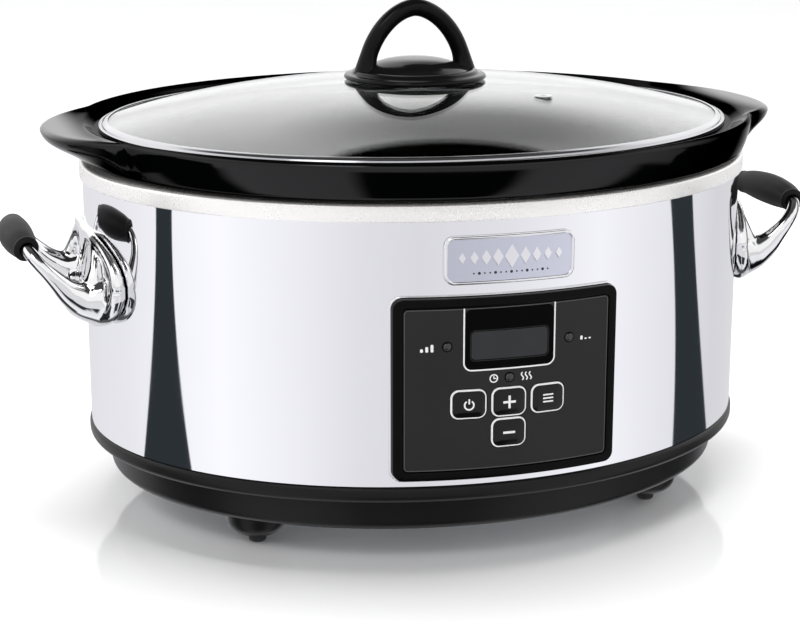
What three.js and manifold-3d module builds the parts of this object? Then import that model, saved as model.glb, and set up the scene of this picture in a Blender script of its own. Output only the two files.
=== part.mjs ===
import * as THREE from 'three';
import { mergeVertices } from 'three/addons/utils/BufferGeometryUtils.js';
import Module from 'manifold-3d';

// Oval slow cooker with a lift-out stoneware crock, a glass lid and a push-button panel.
// Millimetres, +Z up, floor at z = 0, long side along X, control panel facing -Y.

const wasm = await Module();
wasm.setup();

// ---- driving dimensions ----
const SEGMENTS = 40;
const CROCK_SEGMENTS = 60;
const GAP = 0.3;

const WRAP_A = 174.5;
const WRAP_B = 146.5;
const WRAP_SKIN = 0.9;
const WRAP_BOTTOM = 44.8;
const WRAP_TOP = 177.5;

const COLLAR_A = 176;
const COLLAR_B = 150.5;
const COLLAR_BOTTOM = 173;
const COLLAR_TOP = 181.5;

const BASE_BOTTOM = 19;
const BASE_TOP = 44.4;

const WELL_A = 160.8;
const WELL_B = 134.8;
const WELL_SKIN = 0.8;
const WELL_FLOOR = 51.2;

const RIM_A = 178;
const RIM_B = 161;
const RIM_TOP = 202;
const TAB_REACH = 16.2;
const TAB_HALF_WIDTH = 62;

const LID_A = 164.7;
const LID_B = 140.6;
const LID_SEAT = 196.9;
const LID_EDGE = 199.7;
const LID_CROWN = 218.7;
const GLASS = 3.6;
const VENT_X = 50;
const VENT_Y = -57;

const KNOB_RADIUS = 37;
const KNOB_TOP = 259.6;
const ARCH_HALF = 26.6;
const ARCH_TUBE = 4.5;
const ARCH_FOOT = 222.5;
const ARCH_POWER = 1.13;

const FOOT_X = 105.6;
const FOOT_Y = 73.3;

const PANEL_HALF = 55.8;
const PANEL_LOW = 48.5;
const PANEL_HIGH = 136.8;
const BUTTON_WIDTH = 17.4;
const BUTTON_HEIGHT = 14.4;
const BUTTONS = { power: [-20.7, 85.6], plus: [-1, 85.6], minus: [-1, 70.6], mode: [18.7, 85.6] };
const LAMPS = { high: [-30.9, 113.9], low: [29.5, 113.9], warm: [-0.8, 97.5] };
const WINDOW = { x: -0.6, z: 113.7, width: 38.4, height: 14.2 };

const GRIP_RADIUS = 7.3;
const BAR_RADIUS = 3.5;

// ---- geometry helpers ----
function signedVolume(position, index) {
  const a = new THREE.Vector3();
  const b = new THREE.Vector3();
  const c = new THREE.Vector3();
  let volume = 0;
  for (let i = 0; i < index.length; i += 3) {
    a.fromBufferAttribute(position, index[i]);
    b.fromBufferAttribute(position, index[i + 1]);
    c.fromBufferAttribute(position, index[i + 2]);
    volume += a.dot(b.cross(c)) / 6;
  }
  return volume;
}

// Merges shared corners, drops collapsed faces and turns every face outward.
function weld(source) {
  const bare = new THREE.BufferGeometry();
  bare.setAttribute('position', source.getAttribute('position').clone());
  if (source.index) {
    bare.setIndex(Array.from(source.index.array));
  }
  const merged = mergeVertices(bare, 1e-4);
  const old = merged.index.array;
  const index = [];
  for (let i = 0; i < old.length; i += 3) {
    const [p, q, r] = [old[i], old[i + 1], old[i + 2]];
    if (p !== q && q !== r && r !== p) {
      index.push(p, q, r);
    }
  }
  const position = merged.getAttribute('position');
  if (signedVolume(position, index) < 0) {
    for (let i = 0; i < index.length; i += 3) {
      [index[i + 1], index[i + 2]] = [index[i + 2], index[i + 1]];
    }
  }
  merged.setIndex(index);
  return merged;
}

function toSolid(geometry) {
  const welded = weld(geometry);
  const mesh = new wasm.Mesh({
    numProp: 3,
    vertProperties: new Float32Array(welded.getAttribute('position').array),
    triVerts: new Uint32Array(welded.index.array),
  });
  return new wasm.Manifold(mesh);
}

function fromSolid(solid) {
  const mesh = solid.getMesh();
  const geometry = new THREE.BufferGeometry();
  geometry.setAttribute('position', new THREE.Float32BufferAttribute(mesh.vertProperties, 3));
  geometry.setIndex(Array.from(mesh.triVerts));
  return geometry;
}

function union(first, ...others) {
  return others.reduce((solid, next) => solid.add(next), first);
}

function cut(first, ...others) {
  return others.reduce((solid, next) => solid.subtract(next), first);
}

// Body of revolution stretched to an oval: every ring is [half length, half depth, height].
function oval(rings, segments = SEGMENTS, shift = null) {
  const profile = rings.map(([a, , z]) => new THREE.Vector2(a, z));
  const geometry = new THREE.LatheGeometry(profile, segments);
  const position = geometry.getAttribute('position');
  for (let k = 0; k < position.count; k += 1) {
    const ring = rings[k % rings.length];
    const turn = (Math.floor(k / rings.length) / segments) * 2 * Math.PI;
    const point = new THREE.Vector3(ring[0] * Math.cos(turn), ring[1] * Math.sin(turn), ring[2]);
    if (shift) {
      shift(point, ring);
    }
    position.setXYZ(k, point.x, point.y, point.z);
  }
  return weld(geometry);
}

// Oval hoop between two offsets from the wrap's outer face.
function hoop(inner, outer, low, high) {
  return toSolid(oval([
    [WRAP_A + inner, WRAP_B + inner, low],
    [WRAP_A + outer, WRAP_B + outer, low],
    [WRAP_A + outer, WRAP_B + outer, high],
    [WRAP_A + inner, WRAP_B + inner, high],
    [WRAP_A + inner, WRAP_B + inner, low],
  ]));
}

function turned(points, segments = 16) {
  const profile = points.map(([r, z]) => new THREE.Vector2(r, z));
  const geometry = new THREE.LatheGeometry(profile, segments);
  geometry.rotateX(Math.PI / 2);
  return weld(geometry);
}

function cylinder(radius, low, high, segments = 12) {
  return turned([[0, low], [radius, low], [radius, high], [0, high]], segments);
}

function box(x0, x1, y0, y1, z0, z1) {
  const geometry = new THREE.BoxGeometry(x1 - x0, y1 - y0, z1 - z0);
  geometry.translate((x0 + x1) / 2, (y0 + y1) / 2, (z0 + z1) / 2);
  return toSolid(geometry);
}

function roundedRect(cx, cz, width, height, radius) {
  const [x, z] = [width / 2 - radius, height / 2 - radius];
  const shape = new THREE.Shape();
  shape.absarc(cx + x, cz + z, radius, 0, Math.PI / 2);
  shape.absarc(cx - x, cz + z, radius, Math.PI / 2, Math.PI);
  shape.absarc(cx - x, cz - z, radius, Math.PI, 1.5 * Math.PI);
  shape.absarc(cx + x, cz - z, radius, 1.5 * Math.PI, 2 * Math.PI);
  return shape;
}

function extruded(shape, depth, curveSegments = 2) {
  return new THREE.ExtrudeGeometry(shape, { depth, curveSegments, bevelEnabled: false });
}

// Prism along Y from a shape drawn in X and Z.
function frontPrism(shape, y0, y1) {
  const geometry = extruded(shape, y1 - y0);
  geometry.rotateX(Math.PI / 2);
  geometry.translate(0, y1, 0);
  return toSolid(geometry);
}

// Prism along X from a shape drawn in Y and Z.
function sidePrism(shape, x0, x1) {
  const geometry = extruded(shape, x1 - x0, 4);
  const basis = new THREE.Matrix4();
  basis.makeBasis(new THREE.Vector3(0, 1, 0), new THREE.Vector3(0, 0, 1), new THREE.Vector3(1, 0, 0));
  geometry.applyMatrix4(basis);
  geometry.translate(x0, 0, 0);
  return toSolid(geometry);
}

function circle(cx, cz, radius) {
  return roundedRect(cx, cz, 2 * radius, 2 * radius, radius);
}

// Round bar along a curve with a radius that changes from end to end.
function horn(curve, radiusAt, from, to, steps, sides) {
  const geometry = new THREE.CylinderGeometry(1, 1, 1, sides, steps);
  const position = geometry.getAttribute('position');
  const up = new THREE.Vector3(0, 0, 1);
  for (let k = 0; k < position.count; k += 1) {
    const t = from + (to - from) * (position.getY(k) + 0.5);
    const tangent = curve.getTangent(t);
    const side = new THREE.Vector3().crossVectors(tangent, up).normalize();
    const over = new THREE.Vector3().crossVectors(side, tangent);
    const radius = radiusAt(t);
    const point = curve.getPoint(t);
    point.addScaledVector(side, radius * position.getX(k));
    point.addScaledVector(over, radius * position.getZ(k));
    position.setXYZ(k, point.x, point.y, point.z);
  }
  return toSolid(geometry);
}

function cable(points, radius, steps = 10) {
  const curve = new THREE.CatmullRomCurve3(points.map((p) => new THREE.Vector3(...p)));
  return horn(curve, () => radius, 0, 1, steps, 6);
}

function mirroredX(solid) {
  const geometry = fromSolid(solid);
  geometry.scale(-1, 1, 1);
  return weld(geometry);
}

// ---- assembly ----
const group = new THREE.Group();

function place(name, shape, color, roughness, metalness) {
  const geometry = shape.isBufferGeometry ? shape : fromSolid(shape);
  geometry.computeVertexNormals();
  const material = new THREE.MeshStandardMaterial({ color, roughness, metalness });
  const mesh = new THREE.Mesh(geometry, material);
  mesh.name = name;
  group.add(mesh);
}

// Crock: glazed oval pot whose rim carries a lifting tab at each end.
function tabReach(y) {
  const t = Math.abs(y) / TAB_HALF_WIDTH;
  return t < 1 ? TAB_REACH * (1 - t ** 3) : 0;
}

function crock() {
  const rings = [
    [0, 0, 58, 0],
    [136, 110, 58, 0],
    [147, 121, 64, 0],
    [157.6, 131.6, 178, 0],
    [159, 133, COLLAR_TOP + GAP, 0],
    [170.5, 147.5, COLLAR_TOP + GAP, 0],
    [172.4, 151.5, 187.6, 0],
    [176.8, 159.6, 189.2, 0],
    [RIM_A, RIM_B, 194.2, 0.95],
    [RIM_A, RIM_B, 199.2, 1],
    [RIM_A - 0.6, RIM_B - 0.8, 200.8, 0.95],
    [RIM_A - 2, RIM_B - 3, RIM_TOP, 0.8],
    [174.6, 151.5, 201.6, 0],
    [173.2, 149.4, 200.4, 0],
    [168.6, 144.6, LID_SEAT - GAP, 0],
    [158, 134, LID_SEAT - GAP, 0],
    [152, 127.6, 190, 0],
    [149.5, 124.5, 140, 0],
    [144, 118, 84, 0],
    [120, 96, 65.5, 0],
    [0, 0, 65.5, 0],
  ];
  return oval(rings, CROCK_SEGMENTS, (point, ring) => {
    const reach = ring[3] * tabReach(point.y);
    point.x += Math.sign(point.x) * reach;
    point.z -= reach * 0.07;
  });
}
place('stoneware_crock', crock(), 0x0b0b0c, 0.08, 0);

// Lid: domed glass held by a pressed rim, with a moulded arch knob screwed through the crown.
function domeHeight(x, y) {
  const reach = Math.min(1, Math.hypot(x / 162.4, y / 138.3));
  return LID_EDGE + (LID_CROWN - LID_EDGE) * (1 - reach ** 2.2);
}

function lidGlass() {
  const rings = [];
  const reaches = [0.028, 0.3, 0.55, 0.75, 0.9, 1];
  for (const reach of reaches) {
    const [a, b] = [162.4 * reach, 138.3 * reach];
    rings.push([a, reach < 0.1 ? a : b, domeHeight(a, 0)]);
  }
  for (const reach of reaches.slice().reverse()) {
    const [a, b] = [162.4 * reach, 138.3 * reach];
    const thin = reach === 1 ? 1.9 : GLASS;
    rings.push([a, reach < 0.1 ? a : b, domeHeight(a, 0) - thin]);
  }
  rings.push(rings[0]);
  const vent = cylinder(3.4, 190, 230, 10);
  vent.translate(VENT_X, VENT_Y, 0);
  return cut(toSolid(oval(rings)), toSolid(vent));
}
place('lid_glass', lidGlass(), 0xdfe6e8, 0.04, 0);

const lidRim = oval([
  [157.5, 133.5, LID_SEAT],
  [LID_A - 0.8, LID_B - 0.8, LID_SEAT],
  [LID_A, LID_B, LID_SEAT + 0.8],
  [LID_A, LID_B, 200.1],
  [LID_A - 0.8, LID_B - 0.8, 200.9],
  [160.4, 136.4, 201.7],
  [160.4, 136.4, 200.9],
  [163, 138.9, 200.1],
  [163, 138.9, LID_SEAT + 0.6],
  [157.5, 133.5, LID_SEAT + 0.4],
  [157.5, 133.5, LID_SEAT],
]);
place('lid_rim', lidRim, 0xc9cbce, 0.16, 1);

function lidKnob() {
  const archRise = KNOB_TOP - ARCH_TUBE - ARCH_FOOT;
  const cap = toSolid(turned([
    [0, 220],
    [KNOB_RADIUS - 0.8, 220],
    [KNOB_RADIUS, 220.8],
    [KNOB_RADIUS - 0.6, 222.2],
    [30, 224.8],
    [20, 226.6],
    [10, 227.4],
    [0, 227.6],
  ], 24));
  const points = [];
  for (let i = 0; i <= 12; i += 1) {
    const turn = Math.PI * (1 - i / 12);
    const across = Math.sign(Math.cos(turn)) * Math.abs(Math.cos(turn)) ** ARCH_POWER;
    const lift = Math.sin(turn) ** ARCH_POWER;
    points.push(new THREE.Vector3(ARCH_HALF * across, 0, ARCH_FOOT + archRise * lift));
  }
  const curve = new THREE.CatmullRomCurve3(points);
  const radiusAt = (t) => ARCH_TUBE + 1.6 * Math.max(0, 1 - 8 * Math.min(t, 1 - t));
  const geometry = new THREE.CylinderGeometry(1, 1, 1, 10, 16);
  const position = geometry.getAttribute('position');
  const across = new THREE.Vector3(0, 1, 0);
  for (let k = 0; k < position.count; k += 1) {
    const t = position.getY(k) + 0.5;
    const over = new THREE.Vector3().crossVectors(across, curve.getTangent(t)).normalize();
    const point = curve.getPoint(t);
    point.addScaledVector(across, radiusAt(t) * position.getX(k));
    point.addScaledVector(over, radiusAt(t) * position.getZ(k));
    position.setXYZ(k, point.x, point.y, point.z);
  }
  const bore = toSolid(cylinder(2.4, 215, 225.5, 12));
  return cut(union(cap, toSolid(geometry)), bore);
}
place('lid_knob', lidKnob(), 0x0a0a0b, 0.12, 0);

const ring = (inner, outer, low, high, segments = 16) => turned(
  [[inner, low], [outer, low], [outer, high], [inner, high], [inner, low]], segments,
);
place('knob_gasket', ring(5, 14, 219, 219.7), 0x2a2a2a, 0.8, 0);
place('knob_screw_washer', ring(2.4, 7, 213.9, 214.8, 12), 0xb9bcc0, 0.3, 1);
const knobScrew = turned([
  [0, 211.2], [3.4, 211.2], [4.4, 212], [4.4, 213.6], [2.1, 213.6], [2.1, 225.2], [0, 225.2],
], 12);
place('knob_screw', knobScrew, 0xb9bcc0, 0.25, 1);

function ventGrommet() {
  const height = domeHeight(VENT_X, VENT_Y);
  const geometry = turned([
    [1.6, height - GLASS - 0.6],
    [3.0, height - GLASS - 0.6],
    [3.0, height + 1],
    [4.6, height + 1],
    [4.6, height + 1.7],
    [1.6, height + 1.7],
    [1.6, height - GLASS - 0.6],
  ], 10);
  geometry.translate(VENT_X, VENT_Y, 0);
  return geometry;
}
place('vent_grommet', ventGrommet(), 0xc9cbce, 0.2, 1);

// Body: polished wrap, satin collar, heating well and the layers between them.
function wrapShell() {
  const shell = hoop(-WRAP_SKIN, 0, WRAP_BOTTOM, WRAP_TOP);
  const middle = (PANEL_LOW + PANEL_HIGH) / 2;
  const panelHole = frontPrism(roundedRect(0, middle, 88, 72, 4), -165, -120);
  const glandHole = frontPrism(circle(0, 66, 7.4), 120, 165);
  const holes = [];
  for (const y of [-26, 26]) {
    holes.push(sidePrism(circle(y, 126, 2.3), 150, 190));
    holes.push(sidePrism(circle(y, 126, 2.3), -190, -150));
  }
  return cut(shell, panelHole, glandHole, ...holes);
}
place('wrap_shell', wrapShell(), 0xd9dbe2, 0.05, 1);

const collar = oval([
  [162.4, 136.4, 180.5],
  [WRAP_A + GAP, COLLAR_B - 1.2, 180.5],
  [WRAP_A + GAP, COLLAR_B - 1.2, COLLAR_BOTTOM],
  [COLLAR_A, COLLAR_B, COLLAR_BOTTOM],
  [COLLAR_A, COLLAR_B, 180.8],
  [COLLAR_A - 0.7, COLLAR_B - 0.7, COLLAR_TOP],
  [162.4, 136.4, COLLAR_TOP],
  [162.4, 136.4, 180.5],
]);
place('collar_ring', collar, 0xc4c3bf, 0.42, 1);

const well = oval([
  [0, 0, WELL_FLOOR],
  [146, 120, WELL_FLOOR],
  [157, 131, 54],
  [WELL_A + WELL_SKIN, WELL_B + WELL_SKIN, 62],
  [WELL_A + WELL_SKIN, WELL_B + WELL_SKIN, 179],
  [171, 145, 179],
  [171, 145, 180.1],
  [WELL_A, WELL_B, 180.1],
  [WELL_A, WELL_B, 62.2],
  [156.5, 130.5, 54.9],
  [145.8, 119.8, WELL_FLOOR + WELL_SKIN],
  [0, 0, WELL_FLOOR + WELL_SKIN],
]);
place('heating_well', well, 0x9a9c9e, 0.38, 1);

function band(innerOffset, outerOffset, low, high) {
  const [a, b] = [WELL_A + WELL_SKIN, WELL_B + WELL_SKIN];
  return toSolid(oval([
    [a + innerOffset, b + innerOffset, low],
    [a + outerOffset, b + outerOffset, low],
    [a + outerOffset, b + outerOffset, high],
    [a + innerOffset, b + innerOffset, high],
    [a + innerOffset, b + innerOffset, low],
  ]));
}
place('heater_band', band(0.3, 1.9, 64, 108), 0xb8a27a, 0.7, 0);

const blanket = cut(band(2.3, 5.9, 65, 168), box(-58, 58, -160, 0, 50, 180));
place('insulation_blanket', blanket, 0xd8d2bd, 0.95, 0);

// Base: two-tier skirt closed by a steel plate that carries the feet.
const skirt = oval([
  [159.6, 131.6, BASE_BOTTOM],
  [162, 134.4, BASE_BOTTOM],
  [164.5, 136.9, 21.5],
  [165.8, 137.9, 36.2],
  [173.4, 145.6, 36.4],
  [175.5, 147.6, 38.4],
  [175.5, 147.6, 43],
  [174.6, 146.7, BASE_TOP],
  [171, 143, BASE_TOP],
  [171, 143, 39.4],
  [162.6, 134.7, 39],
  [160.6, 132.6, 23],
  [159.6, 131.6, 22.4],
  [159.6, 131.6, BASE_BOTTOM],
]);
place('base_skirt', skirt, 0x2a2828, 0.45, 0);

function bottomPlate() {
  const plate = oval([[0, 0, 20.2], [159, 131, 20.2], [159, 131, 21.4], [0, 0, 21.4]]);
  const cuts = [toSolid(cylinder(2.8, 15, 30))];
  for (let i = 0; i < 5; i += 1) {
    const slot = roundedRect(0, 0, 34, 4, 1.9);
    const geometry = extruded(slot, 20, 2);
    geometry.translate(-60, (i - 2) * 14, 12);
    cuts.push(toSolid(geometry));
  }
  return cut(toSolid(plate), ...cuts);
}
place('bottom_plate', bottomPlate(), 0x77797b, 0.5, 1);

for (const [side, x] of [['left', -FOOT_X], ['right', FOOT_X]]) {
  for (const [face, y] of [['front', -FOOT_Y], ['back', FOOT_Y]]) {
    const boss = turned([
      [2.9, 3.7], [4.8, 3.7], [9.4, 5], [13.2, 7.4], [15, 10.5], [16, 19.9],
      [0, 19.9], [0, 9.6], [2.9, 9.6], [2.9, 3.7],
    ], 14);
    boss.translate(x, y, 0);
    place(`foot_boss_${face}_${side}`, boss, 0x2a2828, 0.5, 0);
    const pad = turned([
      [0, 0], [3.6, 0], [4.5, 0.9], [4.5, 3.4], [2.6, 3.4], [2.6, 9.2], [0, 9.2],
    ], 14);
    pad.translate(x, y, 0);
    place(`foot_pad_${face}_${side}`, pad, 0x161616, 0.85, 0);
  }
}

const tieBolt = turned([
  [0, 16.4], [2.5, 16.4], [2.5, 47.6], [10, 48.8], [10, 50.8], [0, 50.8],
], 12);
place('tie_bolt', tieBolt, 0x9fa2a5, 0.35, 1);
place('tie_nut', ring(3.2, 5.4, 17, 19.9, 6), 0x9fa2a5, 0.35, 1);

// Electronics in the base and behind the panel.
function powerBoard() {
  const parts = [
    box(62, 104, -30, 2, 27, 39),
    box(30, 52, 8, 30, 27, 42),
    box(84, 112, 12, 32, 27, 40),
  ];
  for (const [x, y] of [[20, -34], [110, -34], [20, 34], [110, 34]]) {
    const post = cylinder(2.5, 21.8, 26.5, 10);
    post.translate(x, y, 0);
    parts.push(toSolid(post));
  }
  for (const [x, y, radius, top] of [[40, -14, 6.5, 44], [66, 20, 5, 40]]) {
    const can = cylinder(radius, 27, top, 14);
    can.translate(x, y, 0);
    parts.push(toSolid(can));
  }
  return union(box(14, 116, -40, 40, 26, 27.6), ...parts);
}
place('power_board', powerBoard(), 0x1f5a34, 0.55, 0);

const sensor = turned([[0, 44.6], [3.2, 44.6], [3.2, 47.4], [8.5, 47.4], [8.5, 50.8], [0, 50.8]], 12);
sensor.translate(-42, 0, 0);
place('temperature_sensor', sensor, 0x9c6b3a, 0.4, 1);

const cutoff = cylinder(2.4, -8, 8, 12);
cutoff.rotateY(Math.PI / 2);
cutoff.translate(-84, 30, 48.2);
place('thermal_cutoff', cutoff, 0xd9cfae, 0.6, 0);

function controlBoard() {
  const parts = [];
  for (const [name, [x, z]] of Object.entries(BUTTONS)) {
    const front = name === 'power' || name === 'mode' ? -142.75 : -143.9;
    parts.push(box(x - 3, x + 3, front, -141.2, z - 3, z + 3));
  }
  return union(box(-40, 40, -141.4, -139.8, 60, 127), ...parts);
}
place('control_board', controlBoard(), 0x1f5a34, 0.55, 0);
place('lcd_module', box(-19.6, 18.4, -145.1, -141.8, 105.7, 121.7), 0x3c4145, 0.35, 0);
place('heat_shield', box(-48, 48, -139.2, -138.6, 63, 130), 0xc2c4c6, 0.3, 1);

const harness = cable([
  [58, -41.5, 30], [52, -80, 31], [43, -112, 34], [38, -128, 42], [34, -137.4, 50], [34, -139.8, 58.5],
], 1.2);
place('control_harness', harness, 0x8e2f2a, 0.6, 0);
for (const [name, y] of [['a', -6], ['b', 6]]) {
  const lead = cable([
    [118, y, 30], [138, y, 33], [154, y, 41], [161, y, 51], [162.6, y, 63.4],
  ], 1.1);
  place(`heater_lead_${name}`, lead, 0xd8d2bd, 0.7, 0);
}

// Cord gland through the back wall, left empty.
function cordGland() {
  const geometry = turned([
    [3.4, 143.6], [9.4, 143.6], [9.4, 144.6], [6.9, 144.6], [6.9, 146.8], [10.5, 146.8],
    [10.5, 149.4], [7.6, 151], [6.2, 157], [3.4, 157], [3.4, 143.6],
  ], 14);
  geometry.rotateX(-Math.PI / 2);
  geometry.translate(0, 0, 66);
  return geometry;
}
place('cord_gland', cordGland(), 0x1b1b1c, 0.6, 0);

// Control panel: every layer follows the curve of the wrap.
function layer(shape, inner, outer) {
  return hoop(inner, outer, 40, 190).intersect(frontPrism(shape, -170, -100));
}

function panelOutline(inset, radius) {
  const height = PANEL_HIGH - PANEL_LOW;
  const middle = (PANEL_HIGH + PANEL_LOW) / 2;
  return roundedRect(0, middle, 2 * (PANEL_HALF - inset), height - 2 * inset, radius);
}

function panelOpenings(clearance, windowInset) {
  const openings = [];
  for (const [x, z] of Object.values(BUTTONS)) {
    const [w, h] = [BUTTON_WIDTH + 2 * clearance, BUTTON_HEIGHT + 2 * clearance];
    openings.push(frontPrism(roundedRect(x, z, w, h, 4 + clearance), -170, -120));
  }
  for (const [x, z] of Object.values(LAMPS)) {
    openings.push(frontPrism(circle(x, z, 2.1 + clearance), -170, -120));
  }
  const [w, h] = [WINDOW.width - 2 * windowInset, WINDOW.height - 2 * windowInset];
  openings.push(frontPrism(roundedRect(WINDOW.x, WINDOW.z, w, h, 2), -170, -120));
  return openings;
}

const bezel = cut(
  layer(panelOutline(0, 8), 0.3, 4.2),
  layer(panelOutline(4.5, 4.6), 2.6, 8),
  ...panelOpenings(0.3, 1.6),
);
place('panel_bezel', bezel, 0x101011, 0.2, 0);
const fascia = cut(layer(panelOutline(4.8, 4.3), 2.9, 3.7), ...panelOpenings(0.3, 0));
place('panel_fascia', fascia, 0x262626, 0.6, 0);
const pane = roundedRect(WINDOW.x, WINDOW.z, WINDOW.width - 0.6, WINDOW.height - 0.6, 2);
place('display_window', layer(pane, 2.9, 3.6), 0x33373a, 0.12, 0);

for (const [name, [x, z]] of Object.entries(BUTTONS)) {
  const cap = layer(roundedRect(x, z, BUTTON_WIDTH, BUTTON_HEIGHT, 4), -1.3, 4.2);
  const crown = layer(roundedRect(x, z, BUTTON_WIDTH - 3, BUTTON_HEIGHT - 3, 3), 4, 4.7);
  const lip = layer(roundedRect(x, z, 18.9, 14.4, 4.4), -1.3, -0.1);
  place(`button_${name}`, union(cap, crown, lip), 0x0c0c0d, 0.15, 0);
}

for (const [name, [x, z]] of Object.entries(LAMPS)) {
  const face = -(WRAP_B + 3.9) * Math.sqrt(1 - (x / (WRAP_A + 3.9)) ** 2);
  const lens = turned([[0, -4.6], [2.1, -4.6], [2.1, 0], [1.4, 0.55], [0, 0.8]], 10);
  lens.rotateX(Math.PI / 2);
  lens.translate(x, face, z);
  place(`led_${name}`, lens, 0x3a3a3c, 0.2, 0);
}

// Badge: blank plate with a raised border, bent to the wrap.
const badge = union(
  layer(roundedRect(0.2, 154, 64.3, 22.9, 5), 0.3, 1.6),
  cut(
    layer(roundedRect(0.2, 154, 64.3, 22.9, 5), 1.4, 2.2),
    layer(roundedRect(0.2, 154, 60.3, 18.9, 3.4), 1, 3),
  ),
);
place('badge', badge, 0xc6cad6, 0.22, 1);

// Handles: a cast loop that rises from a flange on the wrap, with a soft grip on its bar.
const HALF_LOOP = [
  [172.4, -38, 119.5, 10.6],
  [176.5, -37.6, 119.8, 9.7],
  [182.4, -37.2, 121, 8.2],
  [189.2, -38, 125.4, 6.3],
  [194.1, -38.5, 130.9, 4.8],
  [198.8, -38, 136.8, 3.9],
  [202.6, -35.5, 142.6, 3.6],
  [205.4, -31, 146.2, BAR_RADIUS],
  [207.8, -22, 147.1, BAR_RADIUS],
  [209.8, -11, 147.4, BAR_RADIUS],
  [210.3, 0, 147.5, BAR_RADIUS],
];
const LOOP = [...HALF_LOOP, ...HALF_LOOP.slice(0, -1).reverse().map(([x, y, z, r]) => [x, -y, z, r])];
const loopCurve = new THREE.CatmullRomCurve3(LOOP.map(([x, y, z]) => new THREE.Vector3(x, y, z)));

function loopRadius(t) {
  const place = t * (LOOP.length - 1);
  const index = Math.min(LOOP.length - 2, Math.floor(place));
  return THREE.MathUtils.lerp(LOOP[index][3], LOOP[index + 1][3], place - index);
}

function flangeOutline(scale) {
  const outline = new THREE.Shape();
  outline.moveTo(-26.5 * scale, 154.5);
  outline.lineTo(26.5 * scale, 154.5);
  outline.quadraticCurveTo(54.6 * scale, 147, 54.8 * scale, 126);
  outline.quadraticCurveTo(54 * scale, 109, 26 * scale, 108);
  outline.lineTo(-26 * scale, 108);
  outline.quadraticCurveTo(-54 * scale, 109, -54.8 * scale, 126);
  outline.quadraticCurveTo(-54.6 * scale, 147, -26.5 * scale, 154.5);
  return outline;
}

function handleCasting() {
  const plate = hoop(0.3, 4, 104, 158).intersect(sidePrism(flangeOutline(1), 120, 200));
  const sill = hoop(0.3, 7.5, 104, 124).intersect(sidePrism(flangeOutline(0.9), 120, 200));
  const loop = horn(loopCurve, loopRadius, 0, 1, 20, 8);
  const bores = [-26, 26].map((y) => sidePrism(circle(y, 126, 1.9), 160, 173.6));
  return cut(union(plate, sill, loop), ...bores);
}

function handleGrip() {
  const outerRadius = (t) => {
    const end = Math.min(1, (Math.min(t - 0.35, 0.65 - t) / 0.02));
    return GRIP_RADIUS - 0.9 * (1 - Math.max(0, end)) ** 2;
  };
  const sleeve = horn(loopCurve, outerRadius, 0.35, 0.65, 12, 10);
  const core = horn(loopCurve, (t) => loopRadius(t) + 0.35, 0.3, 0.7, 8, 8);
  return cut(sleeve, core);
}

const casting = handleCasting();
const grip = handleGrip();
place('handle_casting_right', fromSolid(casting), 0xc9cbce, 0.07, 1);
place('handle_casting_left', mirroredX(casting), 0xc9cbce, 0.07, 1);
place('handle_grip_right', fromSolid(grip), 0x232323, 0.7, 0);
place('handle_grip_left', mirroredX(grip), 0x232323, 0.7, 0);

for (const [side, sign] of [['left', -1], ['right', 1]]) {
  for (const [face, y] of [['front', -26], ['back', 26]]) {
    const screw = turned([[0, 167.2], [3.6, 167.2], [3.6, 168.8], [1.6, 168.8], [1.6, 173.2], [0, 173.2]], 10);
    screw.rotateY(Math.PI / 2);
    screw.translate(0, y, 126);
    if (sign < 0) {
      screw.scale(-1, 1, 1);
    }
    place(`handle_screw_${face}_${side}`, weld(screw), 0x9fa2a5, 0.35, 1);
  }
}

export default group;
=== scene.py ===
import math

import bmesh
import bpy
from mathutils import Matrix, Vector


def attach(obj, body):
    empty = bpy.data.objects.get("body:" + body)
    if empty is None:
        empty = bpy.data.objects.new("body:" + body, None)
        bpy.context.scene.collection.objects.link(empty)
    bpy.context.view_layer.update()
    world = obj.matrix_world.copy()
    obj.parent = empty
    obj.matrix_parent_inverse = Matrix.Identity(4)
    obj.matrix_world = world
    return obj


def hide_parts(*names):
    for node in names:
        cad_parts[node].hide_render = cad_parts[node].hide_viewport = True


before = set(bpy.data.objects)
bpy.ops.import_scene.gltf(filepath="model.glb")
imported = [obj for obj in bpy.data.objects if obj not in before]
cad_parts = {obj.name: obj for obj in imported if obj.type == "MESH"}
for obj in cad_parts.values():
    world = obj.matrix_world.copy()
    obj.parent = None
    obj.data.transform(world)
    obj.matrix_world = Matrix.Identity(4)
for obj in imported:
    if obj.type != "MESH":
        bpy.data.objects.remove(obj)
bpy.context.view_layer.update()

# Sizes are in millimetres and scaled once, when a mesh is made.
MM = 0.001
WRAP_A, WRAP_B = 174.5, 146.5
RIM_A, RIM_B = 178.0, 161.0
TAB_REACH, TAB_HALF_WIDTH = 17.4, 62.0
GLASS_A, GLASS_B = 162.4, 138.3
LID_EDGE, LID_CROWN = 199.7, 218.7
VENT = (50.0, -57.0)
FOOT = (105.6, 73.3)
PANEL_HALF, PANEL_LOW, PANEL_HIGH = 55.8, 48.5, 136.8
PANEL_MIDDLE = (PANEL_LOW + PANEL_HIGH) / 2
BUTTON = (17.4, 14.4, 4.0)
BUTTONS = {"power": (-20.7, 85.6), "plus": (-1, 85.6), "minus": (-1, 70.6), "mode": (18.7, 85.6)}
LAMPS = {"high": (-30.9, 113.9), "low": (29.5, 113.9), "warm": (-0.8, 97.5)}
WINDOW = (-0.6, 113.7, 38.4, 14.2)
BADGE = (0.2, 154, 64.3, 22.9)
GLAND_Z = 66.0
AROUND = 256
TAB_DROP = 0.07
DOME_POWER = 2.2
GLASS_THICK = 3.4
LAMP_RADIUS = 2.1
# The lens is in millimetres; the camera's place and half the floor's width are in metres.
LENS = 88.95
CAMERA_PLACE = (-0.3122, -0.9846, 0.3584)
CAMERA_LOOK = (0.28544, 0.92438, -0.25308)
FLOOR = 9.0


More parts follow.
